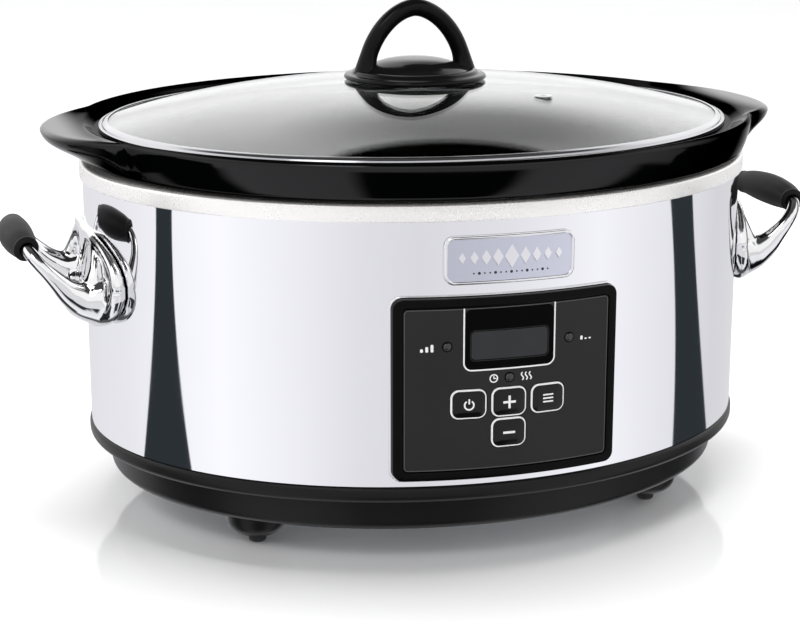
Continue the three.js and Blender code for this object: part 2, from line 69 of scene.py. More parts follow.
# ---- scene helpers and camera
def placed(name, data):
    """Puts a new object in the scene."""
    made = bpy.data.objects.new(name, data)
    bpy.context.scene.collection.objects.link(made)
    return made


def aimed(name, data, place, along):
    """Puts a camera or a lamp at a place, looking along a direction."""
    made = placed(name, data)
    made.location = place
    made.rotation_mode = "QUATERNION"
    made.rotation_quaternion = Vector(along).to_track_quat("-Z", "Y")
    return made


def make_camera():
    data = bpy.data.cameras.new("camera")
    data.lens = LENS
    data.sensor_width = 36
    data.clip_start = 0.05
    data.clip_end = 60
    bpy.context.scene.camera = aimed("camera", data, CAMERA_PLACE, CAMERA_LOOK)


# ---- node helpers
def add(tree, kind, settings=None, **inputs):
    """Adds a node; an input is a socket to link or a value to set, and its key uses _ for spaces."""
    made = tree.nodes.new(kind)
    for key, value in (settings or {}).items():
        setattr(made, key, value)
    for key, value in inputs.items():
        plug(tree, made.inputs[key.replace("_", " ")], value)
    return made


def plug(tree, socket, value):
    if isinstance(value, bpy.types.NodeSocket):
        tree.links.new(value, socket)
    else:
        socket.default_value = value


def calc(tree, operation, a, b=0.0, c=None):
    made = tree.nodes.new("ShaderNodeMath")
    made.operation = operation
    plug(tree, made.inputs[0], a)
    plug(tree, made.inputs[1], b)
    if c is not None:
        plug(tree, made.inputs[2], c)
    return made.outputs[0]


def remap(tree, value, low, high, to_low, to_high, smooth=False):
    made = add(tree, "ShaderNodeMapRange", {"clamp": True}, Value=value)
    made.interpolation_type = "SMOOTHSTEP" if smooth else "LINEAR"
    for key, number in zip(("From Min", "From Max", "To Min", "To Max"), (low, high, to_low, to_high)):
        plug(tree, made.inputs[key], number)
    return made.outputs["Result"]


def ramp(tree, factor, stops):
    made = tree.nodes.new("ShaderNodeValToRGB")
    plug(tree, made.inputs["Fac"], factor)
    line = made.color_ramp
    while len(line.elements) < len(stops):
        line.elements.new(0.5)
    for element, (place, colour) in zip(line.elements, stops):
        element.position = place
        element.color = (*colour, 1)
    return made.outputs["Color"]


def noise(tree, where, scale, detail=3.0, rough=0.5):
    made = add(tree, "ShaderNodeTexNoise", None, Vector=where, Scale=scale, Detail=detail, Roughness=rough)
    return made.outputs["Fac"]


def blend(tree, factor, first, second, mode="MIX"):
    made = add(tree, "ShaderNodeMix", {"data_type": "RGBA", "blend_type": mode}, Factor=factor)
    plug(tree, made.inputs[6], first)
    plug(tree, made.inputs[7], second)
    return made.outputs[2]


def shade(colour, factor):
    return tuple(max(0.0, min(1.0, c * factor)) for c in colour)


def stretched(tree, where, scale):
    made = add(tree, "ShaderNodeMapping", None, Vector=where)
    made.inputs["Scale"].default_value = scale
    return made.outputs["Vector"]


# ---- materials
MATERIALS = {}


def new_material(name):
    """Starts a material and returns its node tree, its surface shader and the object coordinates."""
    material = bpy.data.materials.new(name)
    material.use_nodes = True
    MATERIALS[name] = material
    tree = material.node_tree
    return tree, tree.nodes["Principled BSDF"], tree.nodes.new("ShaderNodeTexCoord").outputs["Object"]


def finish(name, colour, rough, metal=0.0, vary=0.12, patch=22.0, grain=900.0, bump=0.05, depth=0.0002,
           spread=0.06, stretch=None, wear=0.0, wear_colour=None, fleck=0.0, specular=0.5):
    """A surface with blotchy colour, uneven gloss and a fine bump; flecks and worn edges if asked for."""
    tree, shader, where = new_material(name)
    blotch = noise(tree, where, patch, 4)
    speck = noise(tree, stretched(tree, where, stretch) if stretch else where, grain, 2)
    tint = ramp(tree, blotch, [(0.3, shade(colour, 1 - vary)), (0.7, shade(colour, 1 + vary))])
    if fleck:
        tint = blend(tree, remap(tree, speck, 0.3, 0.7, 0, fleck), tint, (*shade(colour, 0.45), 1))
    if wear:
        edge = tree.nodes.new("ShaderNodeNewGeometry").outputs["Pointiness"]
        uneven = remap(tree, speck, 0.4, 0.6, 0.3, 1)
        worn = calc(tree, "MULTIPLY", remap(tree, edge, 0.52, 0.58, 0, wear), uneven)
        tint = blend(tree, worn, tint, (*(wear_colour or shade(colour, 2.2)), 1))
    plug(tree, shader.inputs["Base Color"], tint)
    smear = calc(tree, "ADD", calc(tree, "MULTIPLY", blotch, 0.5), calc(tree, "MULTIPLY", speck, 0.5))
    gloss = remap(tree, smear, 0.3, 0.7, max(0.0, rough - spread), rough + spread)
    plug(tree, shader.inputs["Roughness"], gloss)
    relief = add(tree, "ShaderNodeBump", None, Strength=bump, Distance=depth, Height=speck)
    plug(tree, shader.inputs["Normal"], relief.outputs["Normal"])
    shader.inputs["Metallic"].default_value = metal
    shader.inputs["Specular IOR Level"].default_value = specular


def make_pot_materials():
    finish("glazed_stoneware", (0.0045, 0.0043, 0.0044), 0.07, vary=0.3, patch=30, grain=70, bump=0.04,
           depth=0.0006, spread=0.03, wear=0.15, wear_colour=(0.02, 0.019, 0.018), specular=0.3)
    finish("inner_glaze", (0.003, 0.003, 0.003), 0.14, vary=0.3, patch=30, grain=70, bump=0.04,
           depth=0.0006, specular=0.05)
    finish("bare_stoneware", (0.012, 0.0115, 0.011), 0.5, vary=0.4, patch=60, grain=1400, bump=0.5,
           depth=0.0004)
    finish("polished_rim", (0.50, 0.50, 0.52), 0.14, 1.0, vary=0.05, grain=1500, bump=0.03, spread=0.05)
    finish("knob_plastic", (0.004, 0.004, 0.0042), 0.10, vary=0.2, grain=1200, bump=0.02, spread=0.04,
           wear=0.1, wear_colour=(0.015, 0.015, 0.015), specular=0.12)
    finish("gasket_rubber", (0.02, 0.02, 0.02), 0.75, grain=1600, bump=0.3)
    finish("vent_sleeve", (0.5, 0.5, 0.5), 0.42, vary=0.08, grain=1500, bump=0.05, specular=0.4)
    finish("fastener_steel", (0.55, 0.56, 0.58), 0.3, 1.0, vary=0.1, grain=1500, bump=0.1, wear=0.4,
           wear_colour=(0.8, 0.8, 0.8))


def make_body_materials():
    finish("wrap_mirror", (0.93, 0.93, 0.955), 0.035, 1.0, vary=0.012, patch=14, grain=9, bump=0.06,
           depth=0.0004, spread=0.02)
    finish("collar_satin", (1.0, 0.985, 0.965), 0.30, 0.55, vary=0.0, patch=35, grain=1100, bump=0.4,
           depth=0.0001, spread=0.06, fleck=0.12)
    finish("well_steel", (0.42, 0.425, 0.43), 0.36, 1.0, vary=0.15, grain=900, stretch=(1, 1, 0.05),
           bump=0.15)
    finish("heater_mica", (0.36, 0.26, 0.14), 0.6, vary=0.2, grain=600, bump=0.3)
    finish("fibre_blanket", (0.62, 0.56, 0.42), 0.95, vary=0.12, grain=1100, bump=0.8, depth=0.0006,
           spread=0.04)
    finish("base_plastic", (0.0065, 0.0062, 0.0062), 0.34, vary=0.15, grain=1800, bump=0.22,
           depth=0.00012, spread=0.05, wear=0.25, wear_colour=(0.04, 0.039, 0.038), specular=0.2)
    finish("plate_steel", (0.30, 0.31, 0.32), 0.45, 1.0, vary=0.2, grain=700, stretch=(1, 0.05, 1),
           bump=0.2)
    finish("foot_rubber", (0.016, 0.016, 0.016), 0.8, grain=1500, bump=0.4)


def make_inner_materials():
    finish("circuit_board", (0.012, 0.11, 0.035), 0.45, vary=0.3, patch=140, grain=500, bump=0.2)
    finish("sensor_copper", (0.55, 0.28, 0.12), 0.35, 1.0, vary=0.2, grain=800, bump=0.15)
    finish("wire_red", (0.28, 0.02, 0.015), 0.5, grain=1500, bump=0.15)
    finish("wire_pale", (0.62, 0.58, 0.47), 0.65, grain=1300, bump=0.4)
    finish("shield_foil", (0.6, 0.6, 0.62), 0.25, 1.0, vary=0.1, grain=120, bump=0.5, depth=0.0004)


def make_panel_materials():
    finish("bezel_gloss", (0.0028, 0.0026, 0.0027), 0.09, vary=0.2, grain=900, bump=0.02, spread=0.04,
           wear=0.1, wear_colour=(0.012, 0.012, 0.012), specular=0.06)
    finish("fascia_matte", (0.0205, 0.0195, 0.0198), 0.5, vary=0.08, grain=2200, bump=0.25, depth=0.0001,
           specular=0.15)
    finish("panel_film", (0.0035, 0.0033, 0.0033), 0.16, vary=0.15, grain=900, bump=0.02, spread=0.04,
           specular=0.0)
    finish("display_tint", (0.029, 0.030, 0.032), 0.12, vary=0.06, patch=60, grain=600, bump=0.01,
           spread=0.03, specular=0.15)
    finish("lcd_grey", (0.09, 0.1, 0.1), 0.4, grain=500, bump=0.1)
    finish("button_gloss", (0.0035, 0.0034, 0.0035), 0.10, vary=0.2, grain=900, bump=0.02, spread=0.04,
           specular=0.3)
    finish("print_white", (0.80, 0.80, 0.80), 0.45, vary=0.05, patch=200, grain=2500, bump=0.08)
    # painted highlight: faint light-grey colour for the line that stands in for the overlay's edge highlight
    finish("painted_highlight_line", (0.075, 0.075, 0.077), 0.5, vary=0.08, patch=200, grain=2500, bump=0.08)
    finish("lamp_lens", (0.010, 0.0095, 0.0095), 0.10, vary=0.1, grain=900, bump=0.03, specular=0.8)
    finish("badge_metal", (0.70, 0.715, 0.82), 0.34, 1.0, vary=0.03, grain=1500, stretch=(0.04, 1, 1),
           bump=0.12, depth=0.0001)
    finish("badge_polish", (0.88, 0.88, 0.90), 0.08, 1.0, vary=0.03, grain=900, bump=0.03, spread=0.03)
    finish("badge_ink", (0.02, 0.02, 0.024), 0.4, grain=1500, bump=0.1)


def make_materials():
    make_pot_materials()
    make_body_materials()
    make_inner_materials()
    make_panel_materials()
    finish("casting_chrome", (0.90, 0.90, 0.91), 0.045, 1.0, vary=0.02, patch=25, grain=40, bump=0.04,
           depth=0.0003, spread=0.02)
    finish("grip_soft", (0.0065, 0.006, 0.0065), 0.5, vary=0.12, patch=50, grain=2000, bump=0.35,
           depth=0.00012, spread=0.06, wear=0.2, wear_colour=(0.02, 0.02, 0.02), specular=0.15)
    finish("gland_rubber", (0.014, 0.014, 0.014), 0.6, grain=1500, bump=0.3)
    paint_chrome_reflection_streak(MATERIALS["casting_chrome"])
    paint_glaze_shade_inboard(MATERIALS["glazed_stoneware"])
    clear_glass()
    floor_surface()


# Painted reflection on plated chrome: brightness of the painted dark streak against how far the surface is
# turned away.
PAINTED_REFLECTION_STREAK = [(0.0, 1), (0.34, 0.95), (0.43, 0.10), (0.53, 0.07), (0.60, 0.72), (0.8, 0.9)]


def paint_chrome_reflection_streak(material):
    """Paints a dark reflection streak into plated chrome's colour where the surface turns away: a painted
    reflection.
    """
    tree = material.node_tree
    base = tree.nodes["Principled BSDF"].inputs["Base Color"]
    turned = add(tree, "ShaderNodeLayerWeight", None, Blend=0.5).outputs["Facing"]
    # painted reflection: a dark streak multiplied into the chrome's colour by facing angle
    painted_streak = ramp(tree, turned, [(place, (grey,) * 3) for place, grey in PAINTED_REFLECTION_STREAK])
    plug(tree, base, blend(tree, 1.0, base.links[0].from_socket, painted_streak, "MULTIPLY"))


def paint_glaze_shade_inboard(material):
    """Painted shade: inboard of the tab ends the glaze turns into a dark metallic mirror that stays black at
    a low angle all round, so only the ends of the tabs catch the light.
    """
    tree = material.node_tree
    shader = tree.nodes["Principled BSDF"]
    base = shader.inputs["Base Color"]
    where = tree.nodes.new("ShaderNodeTexCoord").outputs["Object"]
    across = add(tree, "ShaderNodeSeparateXYZ", None, Vector=where).outputs[0]
    painted_shade_inboard = remap(tree, calc(tree, "ABSOLUTE", across), 0.171, 0.187, 1, 0, True)
    # painted shade: dark metallic tint for the glaze inboard of the tab ends
    plug(tree, base, blend(tree, painted_shade_inboard, base.links[0].from_socket, (0.03, 0.0295, 0.03, 1)))
    plug(tree, shader.inputs["Metallic"], painted_shade_inboard)
    shader.inputs["Specular Tint"].default_value = (0.26, 0.26, 0.26, 1)


def clear_glass():
    """Clear tempered glass with faint wiping smears."""
    tree, shader, where = new_material("lid_glass")
    smear = noise(tree, stretched(tree, where, (1, 3, 1)), 18, 5, 0.6)
    plug(tree, shader.inputs["Roughness"], remap(tree, smear, 0.45, 0.75, 0.0, 0.02))
    tint = ramp(tree, smear, [(0.3, (0.95, 0.97, 0.96)), (0.7, (0.985, 1, 0.99))])
    plug(tree, shader.inputs["Base Color"], tint)
    ripple = noise(tree, where, 12, 2)
    relief = add(tree, "ShaderNodeBump", None, Strength=0.02, Distance=0.0006, Height=ripple)
    plug(tree, shader.inputs["Normal"], relief.outputs["Normal"])
    shader.inputs["Transmission Weight"].default_value = 1
    shader.inputs["IOR"].default_value = 1.5


def floor_surface():
    """Pale polished tabletop: it reads white and mirrors the object faintly."""
    tree, shader, where = new_material("floor")
    cloud = noise(tree, where, 3, 3)
    tint = ramp(tree, cloud, [(0.3, (0.93, 0.93, 0.935)), (0.7, (0.95, 0.95, 0.955))])
    plug(tree, shader.inputs["Base Color"], tint)
    plug(tree, shader.inputs["Roughness"], remap(tree, cloud, 0.3, 0.7, 0.07, 0.10))
    shader.inputs["Specular IOR Level"].default_value = 0.3


# ---- light
def band(tree, value, low, high, soft):
    """One between low and high, fading over soft on both sides."""
    rise = remap(tree, value, calc(tree, "SUBTRACT", low, soft), low, 0, 1, True)
    fall = remap(tree, value, high, calc(tree, "ADD", high, soft), 1, 0, True)
    return calc(tree, "MULTIPLY", rise, fall)


# Brightness of the tent below the horizon, against the heading in degrees from -Y towards +X.
TENT = [(-180, 0.75), (-125, 0.82), (-72, 0.99), (-43, 0.86), (-24, 0.76), (-6, 0.72), (20, 0.78),
        (50, 0.93), (66, 0.85), (110, 0.67), (180, 0.75)]
# Brightness of the far walls (more than 115 degrees from -Y) and of the roof; a plain wall is 1.
WALL = 1.5
ROOF = 0.06
# The two dark flags: heading, lean, half width and widening in degrees.
FLAGS = [(-97.4, -3.6, 4.0, 9.0), (85.8, 12.6, 6.0, 7.6)]
# Dark cards low down beside the object: heading and half width in degrees.
UNDER_CARDS = [(-96, 13), (-3, 23), (84, 13), (165, 10)]


def flag(tree, turn, drop, heading, lean, half, widen):
    """Upright dark flag that leans and widens as it drops below the horizon."""
    middle = calc(tree, "MULTIPLY_ADD", drop, lean, heading)
    reach = calc(tree, "MULTIPLY_ADD", calc(tree, "MULTIPLY", drop, drop), widen, half)
    return band(tree, turn, calc(tree, "SUBTRACT", middle, reach), calc(tree, "ADD", middle, reach), 0.6)


def dark_parts(tree, turn, lift):
    """One on the flags and the low cards, zero elsewhere."""
    drop = calc(tree, "MINIMUM", calc(tree, "DIVIDE", calc(tree, "SUBTRACT", -11.5, lift), 7.0), 1.4)
    flags = [flag(tree, turn, drop, *shape) for shape in FLAGS]
    dark = calc(tree, "MULTIPLY", calc(tree, "ADD", *flags), band(tree, lift, -30.0, -9.0, 1.0))
    for centre, half in UNDER_CARDS:
        card = band(tree, turn, centre - half, centre + half, 9.0)
        card = calc(tree, "MULTIPLY", card, band(tree, lift, -62.0, -27.0, 3.0))
        dark = calc(tree, "MAXIMUM", dark, card)
    return dark


def apart(tree, turn, lift, heading, height):
    """Degrees between the direction and a point of the tent."""
    across = calc(tree, "SUBTRACT", calc(tree, "FLOORED_MODULO", turn, 360.0), heading)
    across = calc(tree, "MULTIPLY", across, calc(tree, "COSINE", calc(tree, "RADIANS", lift)))
    rise = calc(tree, "SUBTRACT", lift, height)
    squares = calc(tree, "MULTIPLY_ADD", across, across, calc(tree, "MULTIPLY", rise, rise))
    return calc(tree, "SQRT", squares)


def upper_tent(tree, turn, lift):
    """Brightness above the horizon: walls, a dim roof, a dark card at the back and a bright strip."""
    wall = remap(tree, calc(tree, "ABSOLUTE", turn), 60, 115, 1, WALL, True)
    for layer in (
        remap(tree, lift, 6, 14, 0.74, 1, True),
        remap(tree, lift, 42, 56, 1, ROOF, True),
        remap(tree, apart(tree, turn, lift, 157.0, 31.0), 3, 14, 0.4, 1, True),
        remap(tree, apart(tree, turn, lift, 157.0, 46.2), 9.2, 10.6, 0, 1, True),
    ):
        wall = calc(tree, "MULTIPLY", wall, layer)
    strip = calc(tree, "MULTIPLY", band(tree, turn, -52, -30, 3), band(tree, lift, 38, 60, 4))
    return calc(tree, "MULTIPLY_ADD", strip, 2.2, wall)


def make_world():
    """A light tent; headings run in degrees from -Y towards +X, and lift is the angle over the horizon."""
    world = bpy.data.worlds.new("studio")
    bpy.context.scene.world = world
    world.use_nodes = True
    tree = world.node_tree
    toward = tree.nodes.new("ShaderNodeTexCoord").outputs["Generated"]
    x, y, z = add(tree, "ShaderNodeSeparateXYZ", None, Vector=toward).outputs
    turn = calc(tree, "DEGREES", calc(tree, "ARCTAN2", x, calc(tree, "MULTIPLY", y, -1)))
    lift = calc(tree, "DEGREES", calc(tree, "ARCSINE", z))
    share = calc(tree, "MULTIPLY_ADD", turn, 1 / 360, 0.5)
    low = ramp(tree, share, [(degrees / 360 + 0.5, (grey,) * 3) for degrees, grey in TENT])
    low = blend(tree, 1.0, low, (1.04, 1.04, 1.075, 1), "MULTIPLY")
    tent = blend(tree, remap(tree, lift, -4, 2, 0, 1, True), low, upper_tent(tree, turn, lift))
    tent = blend(tree, dark_parts(tree, turn, lift), tent, (0.026, 0.032, 0.037, 1))
    plug(tree, tree.nodes["Background"].inputs["Color"], tent)


def area_light(name, place, aim, size, power):
    data = bpy.data.lights.new(name, "AREA")
    data.shape = "RECTANGLE"
    data.size, data.size_y = size
    data.energy = power
    lamp = aimed(name, data, place, Vector(aim) - Vector(place))
    lamp.visible_camera = False
    lamp.visible_glossy = False


def make_lights():
    area_light("top_softbox", (0.1, 0.1, 1.9), (0, 0, 0.1), (1.7, 1.1), 34)
    area_light("front_softbox", (-1.2, -1.3, 1.7), (0, 0, 0.15), (0.7, 0.4), 5)


def make_floor():
    mesh = bpy.data.meshes.new("studio_floor")
    corners = [(-FLOOR, -FLOOR, 0), (FLOOR, -FLOOR, 0), (FLOOR, FLOOR, 0), (-FLOOR, FLOOR, 0)]
    mesh.from_pydata(corners, [], [(0, 1, 2, 3)])
    mesh.materials.append(MATERIALS["floor"])
    floor = placed("studio_floor", mesh)
    floor.visible_glossy = False


# ---- mesh helpers
def piece(name, source, slot, nodes=(), sharp=40, flat=False, material=None, body="heater_base"):
    """Makes one piece of the object from a bmesh in millimetres."""
    bmesh.ops.remove_doubles(source, verts=source.verts, dist=1e-4)
    bmesh.ops.recalc_face_normals(source, faces=source.faces)
    mesh = metres(name, source)
    made = placed(name, mesh)
    mesh.materials.append(MATERIALS[material or slot])
    mesh.shade_smooth()
    mesh.set_sharp_from_angle(angle=math.radians(sharp))
    if flat:
        weighted = made.modifiers.new("weighted", "WEIGHTED_NORMAL")
        weighted.keep_sharp = True
    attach(made, body)
    if nodes:
        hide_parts(*nodes)
    return made


def metres(name, source):
    """Mesh in metres from a bmesh in millimetres, which is used up."""
    mesh = bpy.data.meshes.new(name)
    source.to_mesh(mesh)
    source.free()
    mesh.transform(Matrix.Scale(MM, 4))
    return mesh


def baked(thing):
    """Mesh of an object with its modifiers applied."""
    graph = bpy.context.evaluated_depsgraph_get()
    return bpy.data.meshes.new_from_object(thing.evaluated_get(graph), depsgraph=graph)


def toward(here, there, radius):
    """Point at the radius from here, but never as far as halfway to there."""
    gap = there - here
    return here + gap.normalized() * min(radius, 0.48 * gap.length)


def rounded(points, closed=False, steps=5):
    """Softens a profile: each point is (a, b, z, radius), and the corner is cut by a small curve."""
    out = []
    count = len(points)
    for i, (a, b, z, radius) in enumerate(points):
        here = Vector((a, b, z))
        if not closed and i in (0, count - 1) or radius == 0:
            out.append(tuple(here))
            continue
        before = Vector(points[i - 1][:3])
        after = Vector(points[(i + 1) % count][:3])
        start, end = toward(here, before, radius), toward(here, after, radius)
        for k in range(steps + 1):
            t = k / steps
            out.append(tuple(start * (1 - t) ** 2 + here * 2 * t * (1 - t) + end * t * t))
    return out


def lathe(rings, segments=AROUND, closed=False, shift=None):
    """Sweeps rings of (half length, half depth, height) round the upright axis."""
    made = bmesh.new()
    rows = []
    for ring in rings:
        if ring[0] < 1e-6:
            rows.append([made.verts.new((0, 0, ring[2]))])
            continue
        row = []
        for k in range(segments):
            turn = 2 * math.pi * k / segments
            spot = Vector((ring[0] * math.cos(turn), ring[1] * math.sin(turn), ring[2]))
            if shift:
                shift(spot, ring)
            row.append(made.verts.new(spot))
        rows.append(row)
    pairs = list(zip(rows, rows[1:]))
    if closed:
        pairs.append((rows[-1], rows[0]))
    for low, high in pairs:
        join_rows(made, low, high)
    return made


def join_rows(made, low, high):
    count = max(len(low), len(high))
    for k in range(count):
        n = (k + 1) % count
        if len(low) == 1:
            corners = (low[0], high[n], high[k])
        elif len(high) == 1:
            corners = (low[k], low[n], high[0])
        else:
            corners = (low[k], low[n], high[n], high[k])
        made.faces.new(corners)


def round_rings(points):
    return [(r, r, z, soft) for r, z, soft in points]


def moved(source, offset):
    bmesh.ops.translate(source, verts=source.verts, vec=offset)
    return source


def tipped(source, degrees):
    """Turns a bmesh about the X axis."""
    turn = Matrix.Rotation(math.radians(degrees), 3, "X")
    bmesh.ops.rotate(source, verts=source.verts, cent=(0, 0, 0), matrix=turn)
    return source


def rod(radius, low, high):
    return lathe(round_rings([(0, low, 0), (radius, low, 0), (radius, high, 0), (0, high, 0)]), 32)


def merged(*sources):
    """One bmesh that holds all the shells given."""
    out = sources[0]
    for other in sources[1:]:
        spare = bpy.data.meshes.new("spare")
        other.to_mesh(spare)
        out.from_mesh(spare)
        other.free()
        bpy.data.meshes.remove(spare)
    return out


def bowed(x, t):
    """Depth of a point at offset t from the wrap's front."""
    return -(WRAP_B + t) * math.sqrt(max(0.0, 1 - (x / (WRAP_A + t)) ** 2))


def rounded_rect(cx, cz, width, height, radius, steps=8):
    x, z = width / 2 - radius, height / 2 - radius
    out = []
    for quarter, (sx, sz) in enumerate(((1, 1), (-1, 1), (-1, -1), (1, -1))):
        for k in range(steps + 1):
            turn = (quarter + k / steps) * math.pi / 2
            out.append((cx + sx * x + radius * math.cos(turn), cz + sz * z + radius * math.sin(turn)))
    return out


def ring_2d(cx, cz, radius, count=32):
    return arc(cx, cz, radius, 0, 360, count)[:-1]


def stroke(points, width):
    """Outline of a line of that width through the points."""
    left, right = [], []
    for i, (x, z) in enumerate(points):
        before = points[max(0, i - 1)]
        after = points[min(len(points) - 1, i + 1)]
        run = Vector((after[0] - before[0], after[1] - before[1])).normalized()
        left.append((x - run.y * width / 2, z + run.x * width / 2))
        right.append((x + run.y * width / 2, z - run.x * width / 2))
    return right + left[::-1]


def arc(cx, cz, radius, start, end, steps=20):
    out = []
    for k in range(steps + 1):
        turn = math.radians(start + (end - start) * k / steps)
        out.append((cx + radius * math.cos(turn), cz + radius * math.sin(turn)))
    return out


def plate(outlines, inner, outer, soft=0.0):
    """Sheet cut to the outlines (all but the first are holes) between two offsets from the wrap."""
    flat = bmesh.new()
    for outline in outlines:
        row = [flat.verts.new((x, 0, z)) for x, z in outline]
        for ends in zip(row, row[1:] + row[:1]):
            flat.edges.new(ends)
    bmesh.ops.triangle_fill(flat, use_beauty=True, use_dissolve=False, edges=flat.edges[:], normal=(0, -1, 0))
    bmesh.ops.recalc_face_normals(flat, faces=flat.faces)
    if flat.faces[0].normal.y > 0:
        bmesh.ops.reverse_faces(flat, faces=flat.faces)
    flat.verts.index_update()
    table = [(vert.co.x, vert.co.z) for vert in flat.verts]
    faces = [[v.index for v in face.verts] for face in flat.faces]
    rim = [(e.verts[0].index, e.verts[1].index) for e in flat.edges if len(e.link_faces) == 1]
    flat.free()
    shifts = rim_normals(table, rim, faces)
    levels = [(0.0, inner), (0.0, outer - soft)]
    if soft:
        levels += [(0.3 * soft, outer - 0.3 * soft), (soft, outer)]
    made = bmesh.new()
    rows = []
    for inset, t in levels:
        spots = [(x - dx * inset, t, z - dz * inset) for (x, z), (dx, dz) in zip(table, shifts)]
        rows.append([made.verts.new(spot) for spot in spots])
    for face in faces:
        made.faces.new([rows[-1][k] for k in face])
        made.faces.new([rows[0][k] for k in reversed(face)])
    for low, high in zip(rows, rows[1:]):
        for a, b in rim:
            made.faces.new((low[a], low[b], high[b], high[a]))
    bend(made)
    return made


def rim_normals(table, rim, faces):
    """Outward direction at every point, scaled so that a shift by it moves both its edges by one."""
    owners = {edge for face in faces for edge in zip(face, face[1:] + face[:1])}
    outs = [[] for _ in table]
    for a, b in rim:
        if (a, b) not in owners:
            a, b = b, a
        run = Vector((table[b][0] - table[a][0], table[b][1] - table[a][1])).normalized()
        for k in (a, b):
            outs[k].append(Vector((run.y, -run.x)))
    found = []
    for both in outs:
        unit = sum(both, Vector((0, 0))).normalized()
        found.append(unit / max(0.5, unit.dot(both[0])))
    return found


def bend(made, step=3.0):
    """Cuts a flat layer into strips and bends it; on the way in, y is the offset from the wrap."""
    low = min(v.co.x for v in made.verts)
    high = max(v.co.x for v in made.verts)
    cut = math.ceil(low / step) * step
    while cut < high:
        every = made.verts[:] + made.edges[:] + made.faces[:]
        bmesh.ops.bisect_plane(made, geom=every, dist=1e-5, plane_co=(cut, 0, 0), plane_no=(1, 0, 0))
        cut += step
    for vert in made.verts:
        vert.co.y = bowed(vert.co.x, vert.co.y)


def tube(path, radii, sides=24, squash=None, cap=True, upright=False):
    """Bar along a path; squash scales it upwards at each point, upright stops a twist in the XZ plane."""
    made = bmesh.new()
    rows = []
    for i, spot in enumerate(path):
        tangent = (path[min(len(path) - 1, i + 1)] - path[max(0, i - 1)]).normalized()
        side = Vector((0, 1, 0)) if upright else tangent.cross(Vector((0, 0, 1)))
        side = side.normalized() if side.length > 1e-4 else Vector((0, 1, 0))
        over = side.cross(tangent).normalized()
        tall = squash[i] if squash else 1.0
        row = []
        for k in range(sides):
            turn = 2 * math.pi * k / sides
            offset = side * math.cos(turn) * radii[i] + over * math.sin(turn) * radii[i] * tall
            row.append(made.verts.new(spot + offset))
        rows.append(row)
    for low, high in zip(rows, rows[1:]):
        join_rows(made, low, high)
    if cap:
        made.faces.new(rows[0][::-1])
        made.faces.new(rows[-1])
    return made


def smooth(a, b, c, d, t):
    """Value at a share t of the smooth curve from b to c."""
    bow = (2 * a - 5 * b + 4 * c - d) * t * t
    return 0.5 * (2 * b + (c - a) * t + bow + (3 * b - a - 3 * c + d) * t ** 3)


def spline(points, steps):
    """Smooth curve through points (any number of values each), as a list of tuples."""
    out = []
    count = len(points)
    for i in range(count - 1):
        near = points[max(0, i - 1)], points[i], points[i + 1], points[min(count - 1, i + 2)]
        for k in range(steps):
            out.append(tuple(smooth(*values, k / steps) for values in zip(*near)))
    out.append(tuple(points[-1]))
    return out


# ---- crock and lid
def tab_shift(spot, ring):
    """Pulls the crock's rim out into a lifting tab at each end."""
    t = abs(spot.y) / TAB_HALF_WIDTH
    if t >= 1:
        return
    reach = ring[3] * TAB_REACH * (1 - t ** 3)
    spot.x += math.copysign(reach, spot.x)
    spot.z -= reach * TAB_DROP


def share_near(here, there):
    """Tab's share where the curve at a point starts, on the side of its neighbour."""
    gap = (Vector(there[:3]) - Vector(here[:3])).length
    return here[4] + (there[4] - here[4]) * min(0.48, here[3] / gap)


def weighted_rings(points):
    """Rounds a profile whose points also carry the tab's share: (a, b, z, radius, share)."""
    rings = [(*points[0][:3], points[0][4])]
    for before, here, after in zip(points, points[1:], points[2:]):
        curve = rounded([p[:4] for p in (before, here, after)])[1:-1]
        early, late = share_near(here, before), share_near(here, after)
        for k, ring in enumerate(curve):
            t = k / (len(curve) - 1)
            rings.append((*ring, early * (1 - t) ** 2 + here[4] * 2 * t * (1 - t) + late * t * t))
    rings.append((*points[-1][:3], points[-1][4]))
    return rings


def make_crock():
    seat = 196.6
    rings = weighted_rings([
        (0, 0, 58, 0, 0),
        (136, 110, 58, 6, 0),
        (147, 121, 64, 6, 0),
        (157.6, 131.6, 178, 2, 0),
        (159, 133, 181.8, 1.5, 0),
        (169.5, 147.5, 181.8, 1.2, 0),
        (171.6, 152.4, 183.0, 1.2, 0),
        (174.0, 157.0, 184.4, 1.6, 0.04),
        (RIM_A - 2.0, RIM_B - 2.0, 189.8, 3, 0.4),
        (RIM_A - 0.6, RIM_B - 0.6, 195.8, 3, 0.94),
        (RIM_A, RIM_B, 200.4, 1.4, 1),
        (RIM_A - 1.6, RIM_B - 2.2, 202.2, 1.3, 0.9),
        (RIM_A - 4.8, RIM_B - 6.6, 200.2, 1.6, 0.0),
        (168.0, 148.2, seat, 1.2, 0),
        (158, 134, seat, 2.5, 0),
        (152, 127.6, 190, 5, 0),
        (149.5, 124.5, 140, 8, 0),
        (144, 118, 84, 12, 0),
        (120, 96, 65.5, 14, 0),
        (0, 0, 65.5, 0, 0),
    ])
    source = lathe(rings, 320, shift=tab_shift)
    crock = piece("stoneware_crock_glazed", source, "glazed_stoneware", ["stoneware_crock"], 50, body="crock")
    crock.data.materials.append(MATERIALS["bare_stoneware"])
    crock.data.materials.append(MATERIALS["inner_glaze"])
    for face in crock.data.polygons:
        middle = face.center / MM
        outward = Vector((face.normal.x, face.normal.y)).dot(Vector((middle.x, middle.y))) > -1e-6
        if outward and middle.z < 183.0:
            face.material_index = 1
        elif not outward and middle.z < 195:
            face.material_index = 2


def dome(reach):
    """Height of the glass at a share of the way from its middle to its edge."""
    return LID_EDGE + (LID_CROWN - LID_EDGE) * (1 - min(1, reach) ** DOME_POWER)


